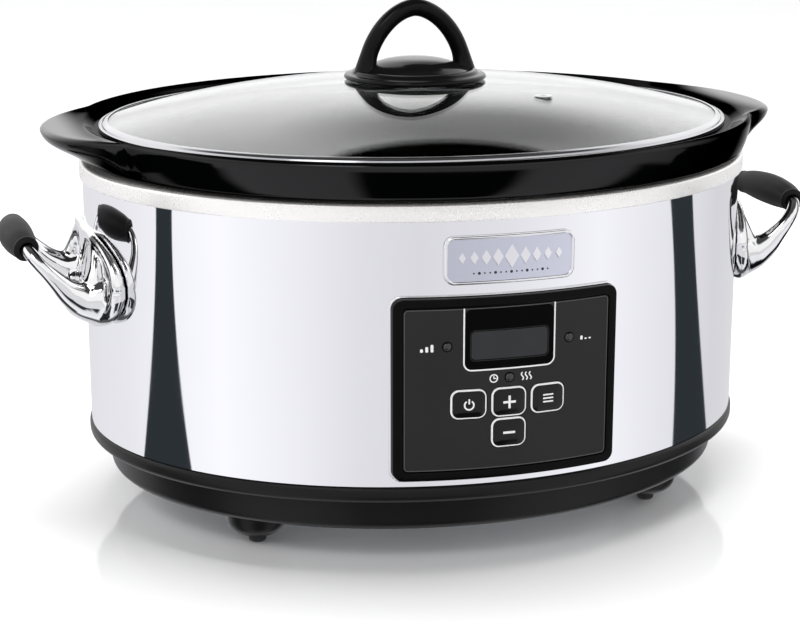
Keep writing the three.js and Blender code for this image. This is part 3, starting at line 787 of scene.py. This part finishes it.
def make_lid():
    reaches = [0.03] + [k / 28 for k in range(2, 29)]
    top, under = [], []
    for reach in reaches:
        a, b = GLASS_A * reach, GLASS_B * reach
        if reach < 0.2:
            share = reach / 0.2
            b = a * (1 - share) + b * share
        top.append((a, b, dome(reach)))
        under.append((a, b, dome(reach) - GLASS_THICK))
    source = lathe(top + under[::-1], closed=True)
    glass = piece("lid_glass_dome", source, "lid_glass", ["lid_glass"], 50, body="lid")
    carve(glass, moved(rod(3.4, 190, 232), (*VENT, 0)))
    make_lid_rim()
    make_vent()


def make_lid_rim():
    rim = [
        (157.5, 133.5, 195.2, 0.2), (164.4, 140.3, 195.6, 0.6), (165.4, 141.3, 196.6, 0.8),
        (165.4, 141.3, 198.7, 0.3), (164.9, 140.8, 199.1, 0.3), (164.4, 140.3, 198.4, 0.2),
        (163.9, 139.8, 198.4, 0.2), (163.4, 139.3, 199.6, 0.3), (162.2, 138.2, 200.4, 0.3),
        (161.2, 137.2, 200.8, 0.3), (160.4, 136.4, 200.8, 0.2), (160.4, 136.4, 200.4, 0.1),
        (162.9, 138.8, 199.6, 0.2), (162.9, 138.8, 196.0, 0.2), (157.5, 133.5, 195.7, 0.1),
    ]
    source = lathe(rounded(rim, True, 4), closed=True)
    piece("lid_rim_rolled", source, "polished_rim", ["lid_rim"], 60, body="lid")


def make_vent():
    height = dome(math.hypot(VENT[0] / GLASS_A, VENT[1] / GLASS_B))
    grommet = round_rings([
        (1.6, height - 4.2, 0.1), (3.0, height - 4.2, 0.2), (3.0, height + 0.4, 0.1),
        (4.9, height + 0.3, 0.2), (4.7, height + 0.7, 0.2), (3.6, height + 0.9, 0.3),
        (2.3, height + 0.8, 0.2), (1.6, height + 0.5, 0.2),
    ])
    source = moved(lathe(rounded(grommet, True), 48, closed=True), (*VENT, 0))
    piece("vent_eyelet", source, "polished_rim", ["vent_grommet"], material="vent_sleeve", body="lid")


def make_knob():
    cap = lathe(rounded(round_rings([
        (2.6, 220, 0), (29, 220, 0.5), (30, 218.9, 0.4), (36.2, 218.6, 0.5), (37.4, 219.4, 0.7),
        (36.6, 221.0, 0.8), (33.4, 221.6, 0.9), (32.4, 223.0, 1.0), (30.2, 223.6, 0.9), (28.6, 222.8, 1.0),
        (24, 225.2, 5), (17, 228.0, 6), (9, 229.2, 5), (0, 229.5, 0),
    ])), 128)
    inner = [v for v in cap.verts if abs(v.co.xy.length - 2.6) < 1e-4 and abs(v.co.z - 220) < 1e-4]
    bore(cap, inner, 225.4)
    power, foot, half, rise, steps = 1.13, 221.9, 26.6, 33.2, 80
    path, radii = [], []
    for i in range(steps + 1):
        turn = math.pi * (1 - i / steps)
        c, s = math.cos(turn), math.sin(turn)
        path.append(Vector((half * math.copysign(abs(c) ** power, c), 0, foot + rise * s ** power)))
        near = min(i, steps - i) / steps
        radii.append(4.5 + 2.2 * max(0, 1 - near / 0.13) ** 2)
    arch = tube(path, radii, 32, upright=True)
    piece("lid_knob_moulded", merged(cap, arch), "knob_plastic", ["lid_knob"], 50, body="lid")


def bore(made, rim, top):
    """Closes a round opening with a blind hole up to that height."""
    rim = sorted(rim, key=lambda v: math.atan2(v.co.y, v.co.x))
    upper = [made.verts.new((v.co.x, v.co.y, top)) for v in rim]
    join_rows(made, rim, upper)
    made.faces.new(upper)


def carve(target, cutter):
    """Cuts a bmesh in millimetres out of a piece."""
    bmesh.ops.recalc_face_normals(cutter, faces=cutter.faces)
    mesh = metres("cutter", cutter)
    tool = placed("cutter", mesh)
    modifier = target.modifiers.new("cut", "BOOLEAN")
    modifier.operation = "DIFFERENCE"
    modifier.solver = "EXACT"
    modifier.object = tool
    result = baked(target)
    target.modifiers.remove(modifier)
    target.data = result
    bpy.data.objects.remove(tool)
    bpy.data.meshes.remove(mesh)


# ---- body
def make_wrap():
    heights = [44.8, 54.5, 62, 77.5, 104, 118, 134, 142.5, 165.5, 177.5]
    outer = [(WRAP_A, WRAP_B, z) for z in heights]
    inner = [(WRAP_A - 0.9, WRAP_B - 0.9, z) for z in reversed(heights)]
    source = lathe(outer + inner, closed=True)
    wrap = piece("polished_wrap", source, "wrap_mirror", ["wrap_shell"])
    opening = bmesh.new()
    outline = rounded_rect(0, PANEL_MIDDLE, 88, 72, 4)
    front, back = [[opening.verts.new((x, y, z)) for x, z in outline] for y in (-165, -120)]
    join_rows(opening, front, back)
    opening.faces.new(front)
    opening.faces.new(back[::-1])
    carve(wrap, opening)
    carve(wrap, moved(tipped(rod(7.4, 0, 40), -90), (0, 122, GLAND_Z)))


def make_collar():
    ring = rounded([
        (162.4, 136.4, 180.6, 0.2), (174.8, 149.3, 180.5, 0), (174.8, 149.3, 173, 0.2),
        (176, 150.5, 173, 0.5), (176, 150.5, 180.6, 1.1), (174.6, 149.1, 181.5, 0.9),
        (163.2, 137.2, 181.5, 0.5), (162.4, 136.4, 181.1, 0.2),
    ], True, 5)
    piece("satin_collar", lathe(ring, closed=True), "collar_satin", ["collar_ring"], 50)


def make_base():
    skirt = rounded([
        (159.6, 131.6, 19, 0.3), (162, 134.4, 19, 1.5), (164.5, 136.9, 21.5, 1.8),
        (165.8, 137.9, 35.6, 1.2), (167.2, 139.4, 36.4, 0.8), (173.4, 145.6, 36.4, 1.4),
        (175.5, 147.6, 38.4, 1.6), (175.5, 147.6, 43, 1.0), (174.6, 146.7, 44.4, 0.8),
        (171, 143, 44.4, 0.2), (171, 143, 39.4, 0.3), (162.6, 134.7, 39, 0.6), (160.6, 132.6, 23, 0.6),
        (159.6, 131.6, 22.4, 0.2),
    ], True, 5)
    piece("base_skirt_moulded", lathe(skirt, closed=True), "base_plastic", ["base_skirt"], 50)
    for side, x in (("left", -FOOT[0]), ("right", FOOT[0])):
        for face, y in (("front", -FOOT[1]), ("back", FOOT[1])):
            make_foot(f"{face}_{side}", x, y)


def make_foot(name, x, y):
    boss = rounded(round_rings([
        (0, 9.6, 0), (2.9, 9.6, 0.2), (2.9, 3.7, 0.3), (4.8, 3.7, 0.6), (9.4, 5, 2), (13.2, 7.4, 2.5),
        (15, 10.5, 2), (16, 19.9, 0.4), (0, 19.9, 0),
    ]), steps=4)
    piece(f"foot_dome_{name}", moved(lathe(boss, 64), (x, y, 0)), "base_plastic",
          [f"foot_boss_{name}"])
    pad = rounded(round_rings([
        (0, 0, 0), (3.7, 0, 0.6), (4.5, 0.9, 0.6), (4.5, 3.4, 0.3), (2.6, 3.4, 0.2), (2.6, 9.2, 0.5),
        (0, 9.2, 0),
    ]), steps=4)
    piece(f"foot_tip_{name}", moved(lathe(pad, 48), (x, y, 0)), "foot_rubber",
          [f"foot_pad_{name}"])


def make_well():
    rings = rounded([
        (0, 0, 51.2, 0), (146, 120, 51.2, 6), (157, 131, 54, 5), (161.6, 135.6, 62, 4),
        (161.6, 135.6, 179, 0.5), (171, 145, 179, 0.3), (171, 145, 180.1, 0.3),
        (160.8, 134.8, 180.1, 1.2), (160.8, 134.8, 62.2, 4), (156.5, 130.5, 54.9, 5),
        (145.8, 119.8, 52, 6), (0, 0, 52, 0),
    ])
    piece("heating_well_drawn", lathe(rings, 192), "well_steel", ["heating_well"], 50)


def make_gland():
    rings = rounded(round_rings([
        (3.4, 143.6, 0.3), (9.4, 143.6, 0.3), (9.4, 144.6, 0.2), (6.9, 144.6, 0.1), (6.9, 146.8, 0.1),
        (10.5, 146.8, 0.5), (10.5, 149.4, 1.2), (7.6, 151, 1.0), (7.0, 153, 0.4), (7.3, 153.6, 0.4),
        (6.6, 154.4, 0.4), (6.8, 155.2, 0.4), (6.2, 157, 0.7), (3.4, 157, 0.6),
    ]), True, 4)
    source = moved(tipped(lathe(rings, 64, closed=True), -90), (0, 0, GLAND_Z))
    piece("cord_gland_ribbed", source, "gland_rubber", ["cord_gland"])


# ---- control panel
def panel_rect(inset, radius):
    return rounded_rect(0, PANEL_MIDDLE, 2 * (PANEL_HALF - inset), PANEL_HIGH - PANEL_LOW - 2 * inset, radius)


def button_rect(x, z, grow):
    return rounded_rect(x, z, BUTTON[0] + 2 * grow, BUTTON[1] + 2 * grow, BUTTON[2] + grow)


def openings(clearance, window_inset):
    holes = [button_rect(x, z, clearance) for x, z in BUTTONS.values()]
    holes += [ring_2d(x, z, LAMP_RADIUS + clearance) for x, z in LAMPS.values()]
    x, z, width, height = WINDOW
    holes.append(rounded_rect(x, z, width - 2 * window_inset, height - 2 * window_inset, 2))
    return holes


def make_panel():
    make_fascia()
    make_display()
    make_prints()
    make_icons()
    for name, (x, z) in LAMPS.items():
        make_lamp(name, x, z)
    for name in BUTTONS:
        make_button(name)


def make_fascia():
    """Bezel with its floor, bright edge trim and overlay."""
    edge = plate([panel_rect(0, 5), panel_rect(4.5, 2.4)], 0.3, 4.2, 0.8)
    floor = plate([panel_rect(4.4, 2.5), *openings(0.35, 1.6)], 0.3, 2.6)
    piece("panel_bezel_moulded", merged(edge, floor), "bezel_gloss", ["panel_bezel"], 35, True)
    trim = plate([panel_rect(-1.0, 6.0), panel_rect(0.1, 4.9)], 0.15, 1.1, 0.3)
    piece("panel_edge_trim", trim, "polished_rim", (), 50, True, "badge_polish")
    overlay = plate([panel_rect(4.8, 2.1), *openings(0.35, 0)], 2.9, 3.7, 0.15)
    piece("panel_overlay", overlay, "fascia_matte", ["panel_fascia"], 35, True)


def make_display():
    """Window pane and the glossy film round it."""
    x, z, width, height = WINDOW
    pane = plate([rounded_rect(x, z, width - 0.6, height - 0.6, 2)], 2.9, 3.6, 0.2)
    piece("display_pane", pane, "display_tint", ["display_window"], 35, True)
    gap = rounded_rect(x, z, width + 0.8, height + 0.8, 2.4)
    film = plate([rounded_rect(-0.7, 116.7, 44.0, 29.2, 3.4), gap], 3.66, 3.78)
    piece("display_surround_film", film, "bezel_gloss", (), 35, True, "panel_film")


def make_prints():
    """Painted highlight: a faint light line near the overlay's edge standing in for its edge highlight; and
    the printed bracket round the display.
    """
    # painted highlight: a thin light line along the overlay's edge
    edge_highlight_line = plate([panel_rect(5.1, 1.9), panel_rect(5.4, 1.6)], 3.66, 3.75)
    piece("overlay_painted_edge_highlight", edge_highlight_line, "fascia_matte", (), 35, True, "painted_highlight_line")
    left, right, foot, head, waist, soft = -23.1, 21.8, 101.9, 131.9, 118, 3.8
    turn_left = arc(left + soft, foot + soft, soft, 180, 270, 8)
    turn_right = arc(right - soft, foot + soft, soft, 270, 360, 8)
    line = [(left, head), (left, waist), *turn_left, *turn_right, (right, waist), (right, head)]
    outline = plate([stroke(line, 0.7)], 3.7, 3.86)
    piece("display_outline", outline, "fascia_matte", (), 35, True, "print_white")


def bars(x, z, heights, pitch, width):
    """Upright bars that share a foot line at z."""
    start = x - pitch * (len(heights) - 1) / 2
    shapes = []
    for k, height in enumerate(heights):
        shapes.append(rounded_rect(start + pitch * k, z + height / 2, width, height, width * 0.3, 3))
    return shapes


def wave(x, z, height, width):
    points = []
    for k in range(13):
        t = k / 12
        points.append((x + 0.55 * math.sin(2 * math.pi * t), z + height * (t - 0.5)))
    return stroke(points, width)


def make_icons():
    """Printed marks in place of words: rising bars, falling bars, a clock and rising warmth."""
    marks = {
        "icon_high": [[shape] for shape in bars(-40.4, 111.6, (1.6, 2.6, 3.6), 2.4, 1.3)],
        "icon_low": [[shape] for shape in bars(38.6, 111.9, (1.9, 0.7, 0.7), 2.3, 1.3)],
        "icon_keep": [
            [ring_2d(-8.6, 97.4, 2.1), ring_2d(-8.6, 97.4, 1.55)[::-1]],
            [rounded_rect(-8.6, 98.0, 0.5, 1.6, 0.2, 3)],
            [rounded_rect(-8.05, 97.35, 1.5, 0.5, 0.2, 3)],
        ],
        "icon_warm": [[wave(5.6 + 2 * k, 97.4, 3.8, 0.62)] for k in range(3)],
    }
    for name, shapes in marks.items():
        source = merged(*[plate(shape, 3.68, 3.8) for shape in shapes])
        piece(name, source, "fascia_matte", (), 35, False, "print_white")


def make_lamp(name, x, z):
    rings = rounded(round_rings([
        (0, -4.6, 0), (LAMP_RADIUS, -4.6, 0.1), (LAMP_RADIUS, 0.1, 0.5), (1.5, 0.62, 0.5), (0, 0.8, 0),
    ]))
    source = moved(tipped(lathe(rings, 40), 90), (x, bowed(x, 3.9), z))
    piece(f"lamp_dome_{name}", source, "lamp_lens", [f"led_{name}"])


# Button profile: inset from the outline and height over the wrap.
PILLOW = [(0, -1.3), (0, 2.9), (0.02, 3.6), (0.1, 3.95), (0.35, 4.15), (0.8, 4.26), (1.15, 4.32),
          (1.7, 4.43), (2.6, 4.56), (3.8, 4.66), (5.2, 4.7)]
# Steps of the profile that carry the printed ring.
PRINTED = (2, 3, 4)


def make_button(name):
    """Cap with a printed ring near its edge, and its symbol."""
    x, z = BUTTONS[name]
    made = bmesh.new()
    rows = []
    for inset, t in PILLOW:
        radius = max(0.6, BUTTON[2] - inset)
        outline = rounded_rect(x, z, BUTTON[0] - 2 * inset, BUTTON[1] - 2 * inset, radius)
        rows.append([made.verts.new((px, t, pz)) for px, pz in outline])
    made.faces.new(rows[0][::-1])
    made.faces.new(rows[-1])
    for k, (low, high) in enumerate(zip(rows, rows[1:])):
        join_rows(made, low, high)
        made.faces.ensure_lookup_table()
        if k in PRINTED:
            for face in made.faces[-len(low):]:
                face.material_index = 1
    bend(made)
    body = f"button_{name}"
    cap = piece(f"button_cap_{name}", made, "button_gloss", [body], 50, body=body)
    cap.data.materials.append(MATERIALS["print_white"])
    marks = merged(*[plate([shape], 4.45, 4.8) for shape in symbol(name, x, z)])
    piece(f"symbol_{name}", marks, "button_gloss", (), 35, False, "print_white", body)


def symbol(name, x, z):
    """Outlines of a button's mark: plus, minus, a power sign or three bars."""
    if name == "plus":
        return [cross(x, z, 3.1, 0.55)]
    if name == "minus":
        return [rounded_rect(x, z, 6.0, 1.1, 0.2, 3)]
    if name == "power":
        return [stroke(arc(x, z - 0.2, 2.2, 125, 415, 24), 0.75), rounded_rect(x, z + 1.5, 0.75, 2.6, 0.3, 3)]
    return [rounded_rect(x, z + k * 1.7, 5.4, 0.7, 0.25, 3) for k in (-1, 0, 1)]


def cross(x, z, reach, half):
    corners = [(half, reach), (half, half), (reach, half)]
    for _ in range(3):
        corners += [(dz, -dx) for dx, dz in corners[-3:]]
    return [(x + dx, z + dz) for dx, dz in reversed(corners)]


# ---- badge
def make_badge():
    """Brushed plate with a raised border, a row of plain lozenges and a row of dots."""
    x, z, width, height = BADGE
    field = plate([rounded_rect(x, z, width - 2.4, height - 2.4, 4)], 0.3, 1.6)
    piece("badge_field", field, "badge_metal", ["badge"], 35, True)
    inside = rounded_rect(x, z, width - 3.2, height - 3.2, 3.6)
    border = plate([rounded_rect(x, z, width, height, 5), inside], 0.3, 2.2, 0.6)
    piece("badge_border", border, "badge_metal", (), 50, True, "badge_polish")
    lozenges = []
    for k in range(-4, 5):
        tall = 4.7 - 0.5 * abs(k) if k else 5.8
        wide = tall * 0.62
        across, up = x + k * 5.7 + (k > 0) - (k < 0), z + 1.2
        lozenges.append([(across - wide, up), (across, up - tall), (across + wide, up), (across, up + tall)])
    raised = merged(*[plate([shape], 1.5, 2.0, 0.15) for shape in lozenges])
    piece("badge_ornament", raised, "badge_metal", (), 30, True, "badge_polish")
    dots = [ring_2d(x + k * 2.6, z - 6.2, 0.42 if k % 3 else 0.7, 14) for k in range(-7, 8)]
    source = merged(*[plate([shape], 1.56, 1.68) for shape in dots])
    piece("badge_dots", source, "badge_metal", (), 35, False, "badge_ink")


# ---- handles
# Front half of the loop's middle line, with the bar's radius at each point.
HALF_LOOP = [
    (172.4, -38, 119.5, 10.6), (176.5, -37.6, 119.8, 9.7), (182.4, -37.2, 121, 8.2),
    (189.2, -38, 125.4, 6.3), (194.4, -38.8, 130.7, 4.8), (199.6, -38.8, 136.4, 3.9),
    (204.6, -36.4, 142.0, 3.6), (207.8, -31, 146.0, 3.5), (209.2, -22, 147.1, 3.5),
    (209.8, -11, 147.4, 3.5), (210.0, 0, 147.5, 3.5),
]


def loop_points(steps=8):
    far = [(x, -y, z, r) for x, y, z, r in HALF_LOOP[-2::-1]]
    return spline(HALF_LOOP + far, steps)


def side_wrap(y, t):
    """Distance along x of a point at offset t from the wrap's end."""
    return (WRAP_A + t) * math.sqrt(max(0.0, 1 - (y / (WRAP_B + t)) ** 2))


def quadratic(p0, p1, p2, steps=14):
    out = []
    for k in range(steps):
        t = k / steps
        out.append(tuple(a * (1 - t) ** 2 + 2 * b * t * (1 - t) + c * t * t for a, b, c in zip(p0, p1, p2)))
    return out


def flange_outline(scale, drop):
    """Shield-shaped outline of the flange in y and z."""
    half = quadratic((26.5, 150.5), (54.6, 144), (54.8, 126)) + quadratic((54.8, 126), (54, 109), (26, 108))
    half.append((26, 108))
    full = half + [(-y, z) for y, z in reversed(half)]
    middle = 130.0
    return [(y * scale, middle + (z - middle) * scale - drop) for y, z in full]


def flange_plate(outline, inner, outer):
    """Solid between two offsets from the wrap's end, cut to the outline."""
    made = bmesh.new()
    flat = bmesh.new()
    row = [flat.verts.new((0, y, z)) for y, z in outline]
    flat.faces.new(row)
    for k in range(-50, 51, 5):
        every = flat.verts[:] + flat.edges[:] + flat.faces[:]
        bmesh.ops.bisect_plane(flat, geom=every, dist=1e-5, plane_co=(0, k, 0), plane_no=(0, 1, 0))
    flat.verts.index_update()
    table = [(v.co.y, v.co.z) for v in flat.verts]
    faces = [[v.index for v in face.verts] for face in flat.faces]
    rim = [(e.verts[0].index, e.verts[1].index) for e in flat.edges if len(e.link_faces) == 1]
    flat.free()
    low = [made.verts.new((side_wrap(y, inner), y, z)) for y, z in table]
    high = [made.verts.new((side_wrap(y, outer), y, z)) for y, z in table]
    for face in faces:
        made.faces.new([high[k] for k in face])
        made.faces.new([low[k] for k in reversed(face)])
    for a, b in rim:
        made.faces.new((low[a], low[b], high[b], high[a]))
    bmesh.ops.recalc_face_normals(made, faces=made.faces)
    return made


def casting_bar():
    """The loop's bar, slimmer and taller towards both ends."""
    path = loop_points()
    last = len(path) - 1
    near = [min(i, last - i) / last for i in range(last + 1)]
    radii = [point[3] * (1 - 0.12 * max(0, 1 - n / 0.22)) for point, n in zip(path, near)]
    return tube([Vector(p[:3]) for p in path], radii, 32, [1 + 0.28 * max(0, 1 - n / 0.25) for n in near])


def casting_hoop():
    """Rounded edge of the flange, fuller towards its foot."""
    rim = flange_outline(0.93, 0.3)
    spots, radii = [], []
    for y, z in rim + rim[:1]:
        radii.append(2.3 + 1.9 * max(0.0, min(1.0, (150 - z) / 36)))
        spots.append(Vector((side_wrap(y, radii[-1] + 0.5), y, z)))
    return tube(spots, radii, 20)


def casting_fin(side):
    """Rib that runs down the flange and swells into the end of the bar."""
    fin = spline([(22, 148, 2.6, 1.9), (30.5, 142.5, 4.2, 2.6), (35.5, 135, 6.4, 3.6), (37, 127, 8.6, 5.2),
                  (37.5, 120, 8.0, 6.4)], 8)
    return tube([Vector((side_wrap(y, t), side * y, z)) for y, z, t, r in fin], [r for *_, r in fin], 20)


def casting_sill():
    """Swelling along the foot of the flange."""
    spots, radii = [], []
    for k in range(33):
        y = -40 + 80 * k / 32
        bulge = 1 - (y / 40) ** 2
        spots.append(Vector((side_wrap(y, 5.2 + 1.6 * bulge), y, 113.8 - 1.6 * bulge)))
        radii.append(5.6 + 1.4 * bulge)
    return tube(spots, radii)


def casting_parts():
    """Overlapping solids that the remesh melts into one casting."""
    flange = flange_plate(flange_outline(0.96, 0.0), 0.6, 3.2)
    return [casting_bar(), flange, casting_hoop(), casting_fin(-1), casting_fin(1), casting_sill()]


def remeshed(name, parts, voxel, rounds):
    """Melts the parts into one smooth closed bmesh."""
    source = merged(*parts)
    bmesh.ops.recalc_face_normals(source, faces=source.faces)
    mesh = bpy.data.meshes.new(name)
    source.to_mesh(mesh)
    source.free()
    spare = placed(name, mesh)
    melt = spare.modifiers.new("melt", "REMESH")
    melt.mode = "VOXEL"
    melt.voxel_size = voxel
    soften = spare.modifiers.new("soften", "SMOOTH")
    soften.factor = 0.5
    soften.iterations = rounds
    result = baked(spare)
    made = bmesh.new()
    made.from_mesh(result)
    bpy.data.objects.remove(spare)
    bpy.data.meshes.remove(mesh)
    bpy.data.meshes.remove(result)
    return made


def grip_sleeve():
    """Soft sleeve with a rolled lip at each end and a slightly fuller middle."""
    path = loop_points(12)
    count = len(path) - 1
    start, end, steps, ring = 0.358, 0.642, 96, 40
    spots, outer, inner = [], [], []
    for k in range(steps + 1):
        share = k / steps
        t = (start + (end - start) * share) * count
        index = min(count - 1, int(t))
        point = [a + (b - a) * (t - index) for a, b in zip(path[index], path[index + 1])]
        near = min(share, 1 - share)
        lip = 0.55 * math.exp(-((near - 0.022) / 0.014) ** 2)
        spots.append(Vector(point[:3]))
        outer.append(4.6 + min(1, near / 0.012) ** 0.5 + 2.8 * math.sin(math.pi * share) ** 0.9 + lip)
        inner.append(point[3] + 0.3)
    made = merged(tube(spots, outer, ring, cap=False), tube(spots, inner, ring, cap=False))
    made.verts.ensure_lookup_table()
    last, total = steps * ring, (steps + 1) * ring
    for low in (0, last):
        join_rows(made, made.verts[low:low + ring], made.verts[low + total:low + total + ring])
    return made


def mirrored(source):
    out = source.copy()
    for vert in out.verts:
        vert.co.x = -vert.co.x
    return out


def make_handles():
    casting = remeshed("casting", casting_parts(), 0.8, 15)
    grip = grip_sleeve()
    for side, castings, grips in (("left", mirrored(casting), mirrored(grip)), ("right", casting, grip)):
        piece(f"handle_chrome_{side}", castings, "casting_chrome", [f"handle_casting_{side}"], 180)
        piece(f"handle_sleeve_{side}", grips, "grip_soft", [f"handle_grip_{side}"], 60)


# ---- CAD nodes that stay
KEPT = {
    "knob_gasket": "gasket_rubber", "knob_screw_washer": "fastener_steel", "knob_screw": "fastener_steel",
    "heater_band": "heater_mica", "insulation_blanket": "fibre_blanket", "bottom_plate": "plate_steel",
    "tie_bolt": "fastener_steel", "tie_nut": "fastener_steel", "power_board": "circuit_board",
    "temperature_sensor": "sensor_copper", "thermal_cutoff": "wire_pale", "control_board": "circuit_board",
    "lcd_module": "lcd_grey", "heat_shield": "shield_foil", "control_harness": "wire_red",
    "heater_lead_a": "wire_pale", "heater_lead_b": "wire_pale",
    **{f"handle_screw_{end}_left": "fastener_steel" for end in ("front", "back")},
    **{f"handle_screw_{end}_right": "fastener_steel" for end in ("front", "back")},
}


def dress_kept_nodes():
    for node, name in KEPT.items():
        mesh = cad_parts[node].data
        mesh.materials.clear()
        mesh.materials.append(MATERIALS[name])


make_camera()
bpy.context.scene.view_settings.view_transform = "Standard"
make_materials()
make_world()
make_lights()
make_floor()
make_crock()
make_lid()
make_knob()
make_wrap()
make_collar()
make_base()
make_well()
make_gland()
make_panel()
make_badge()
make_handles()
dress_kept_nodes()
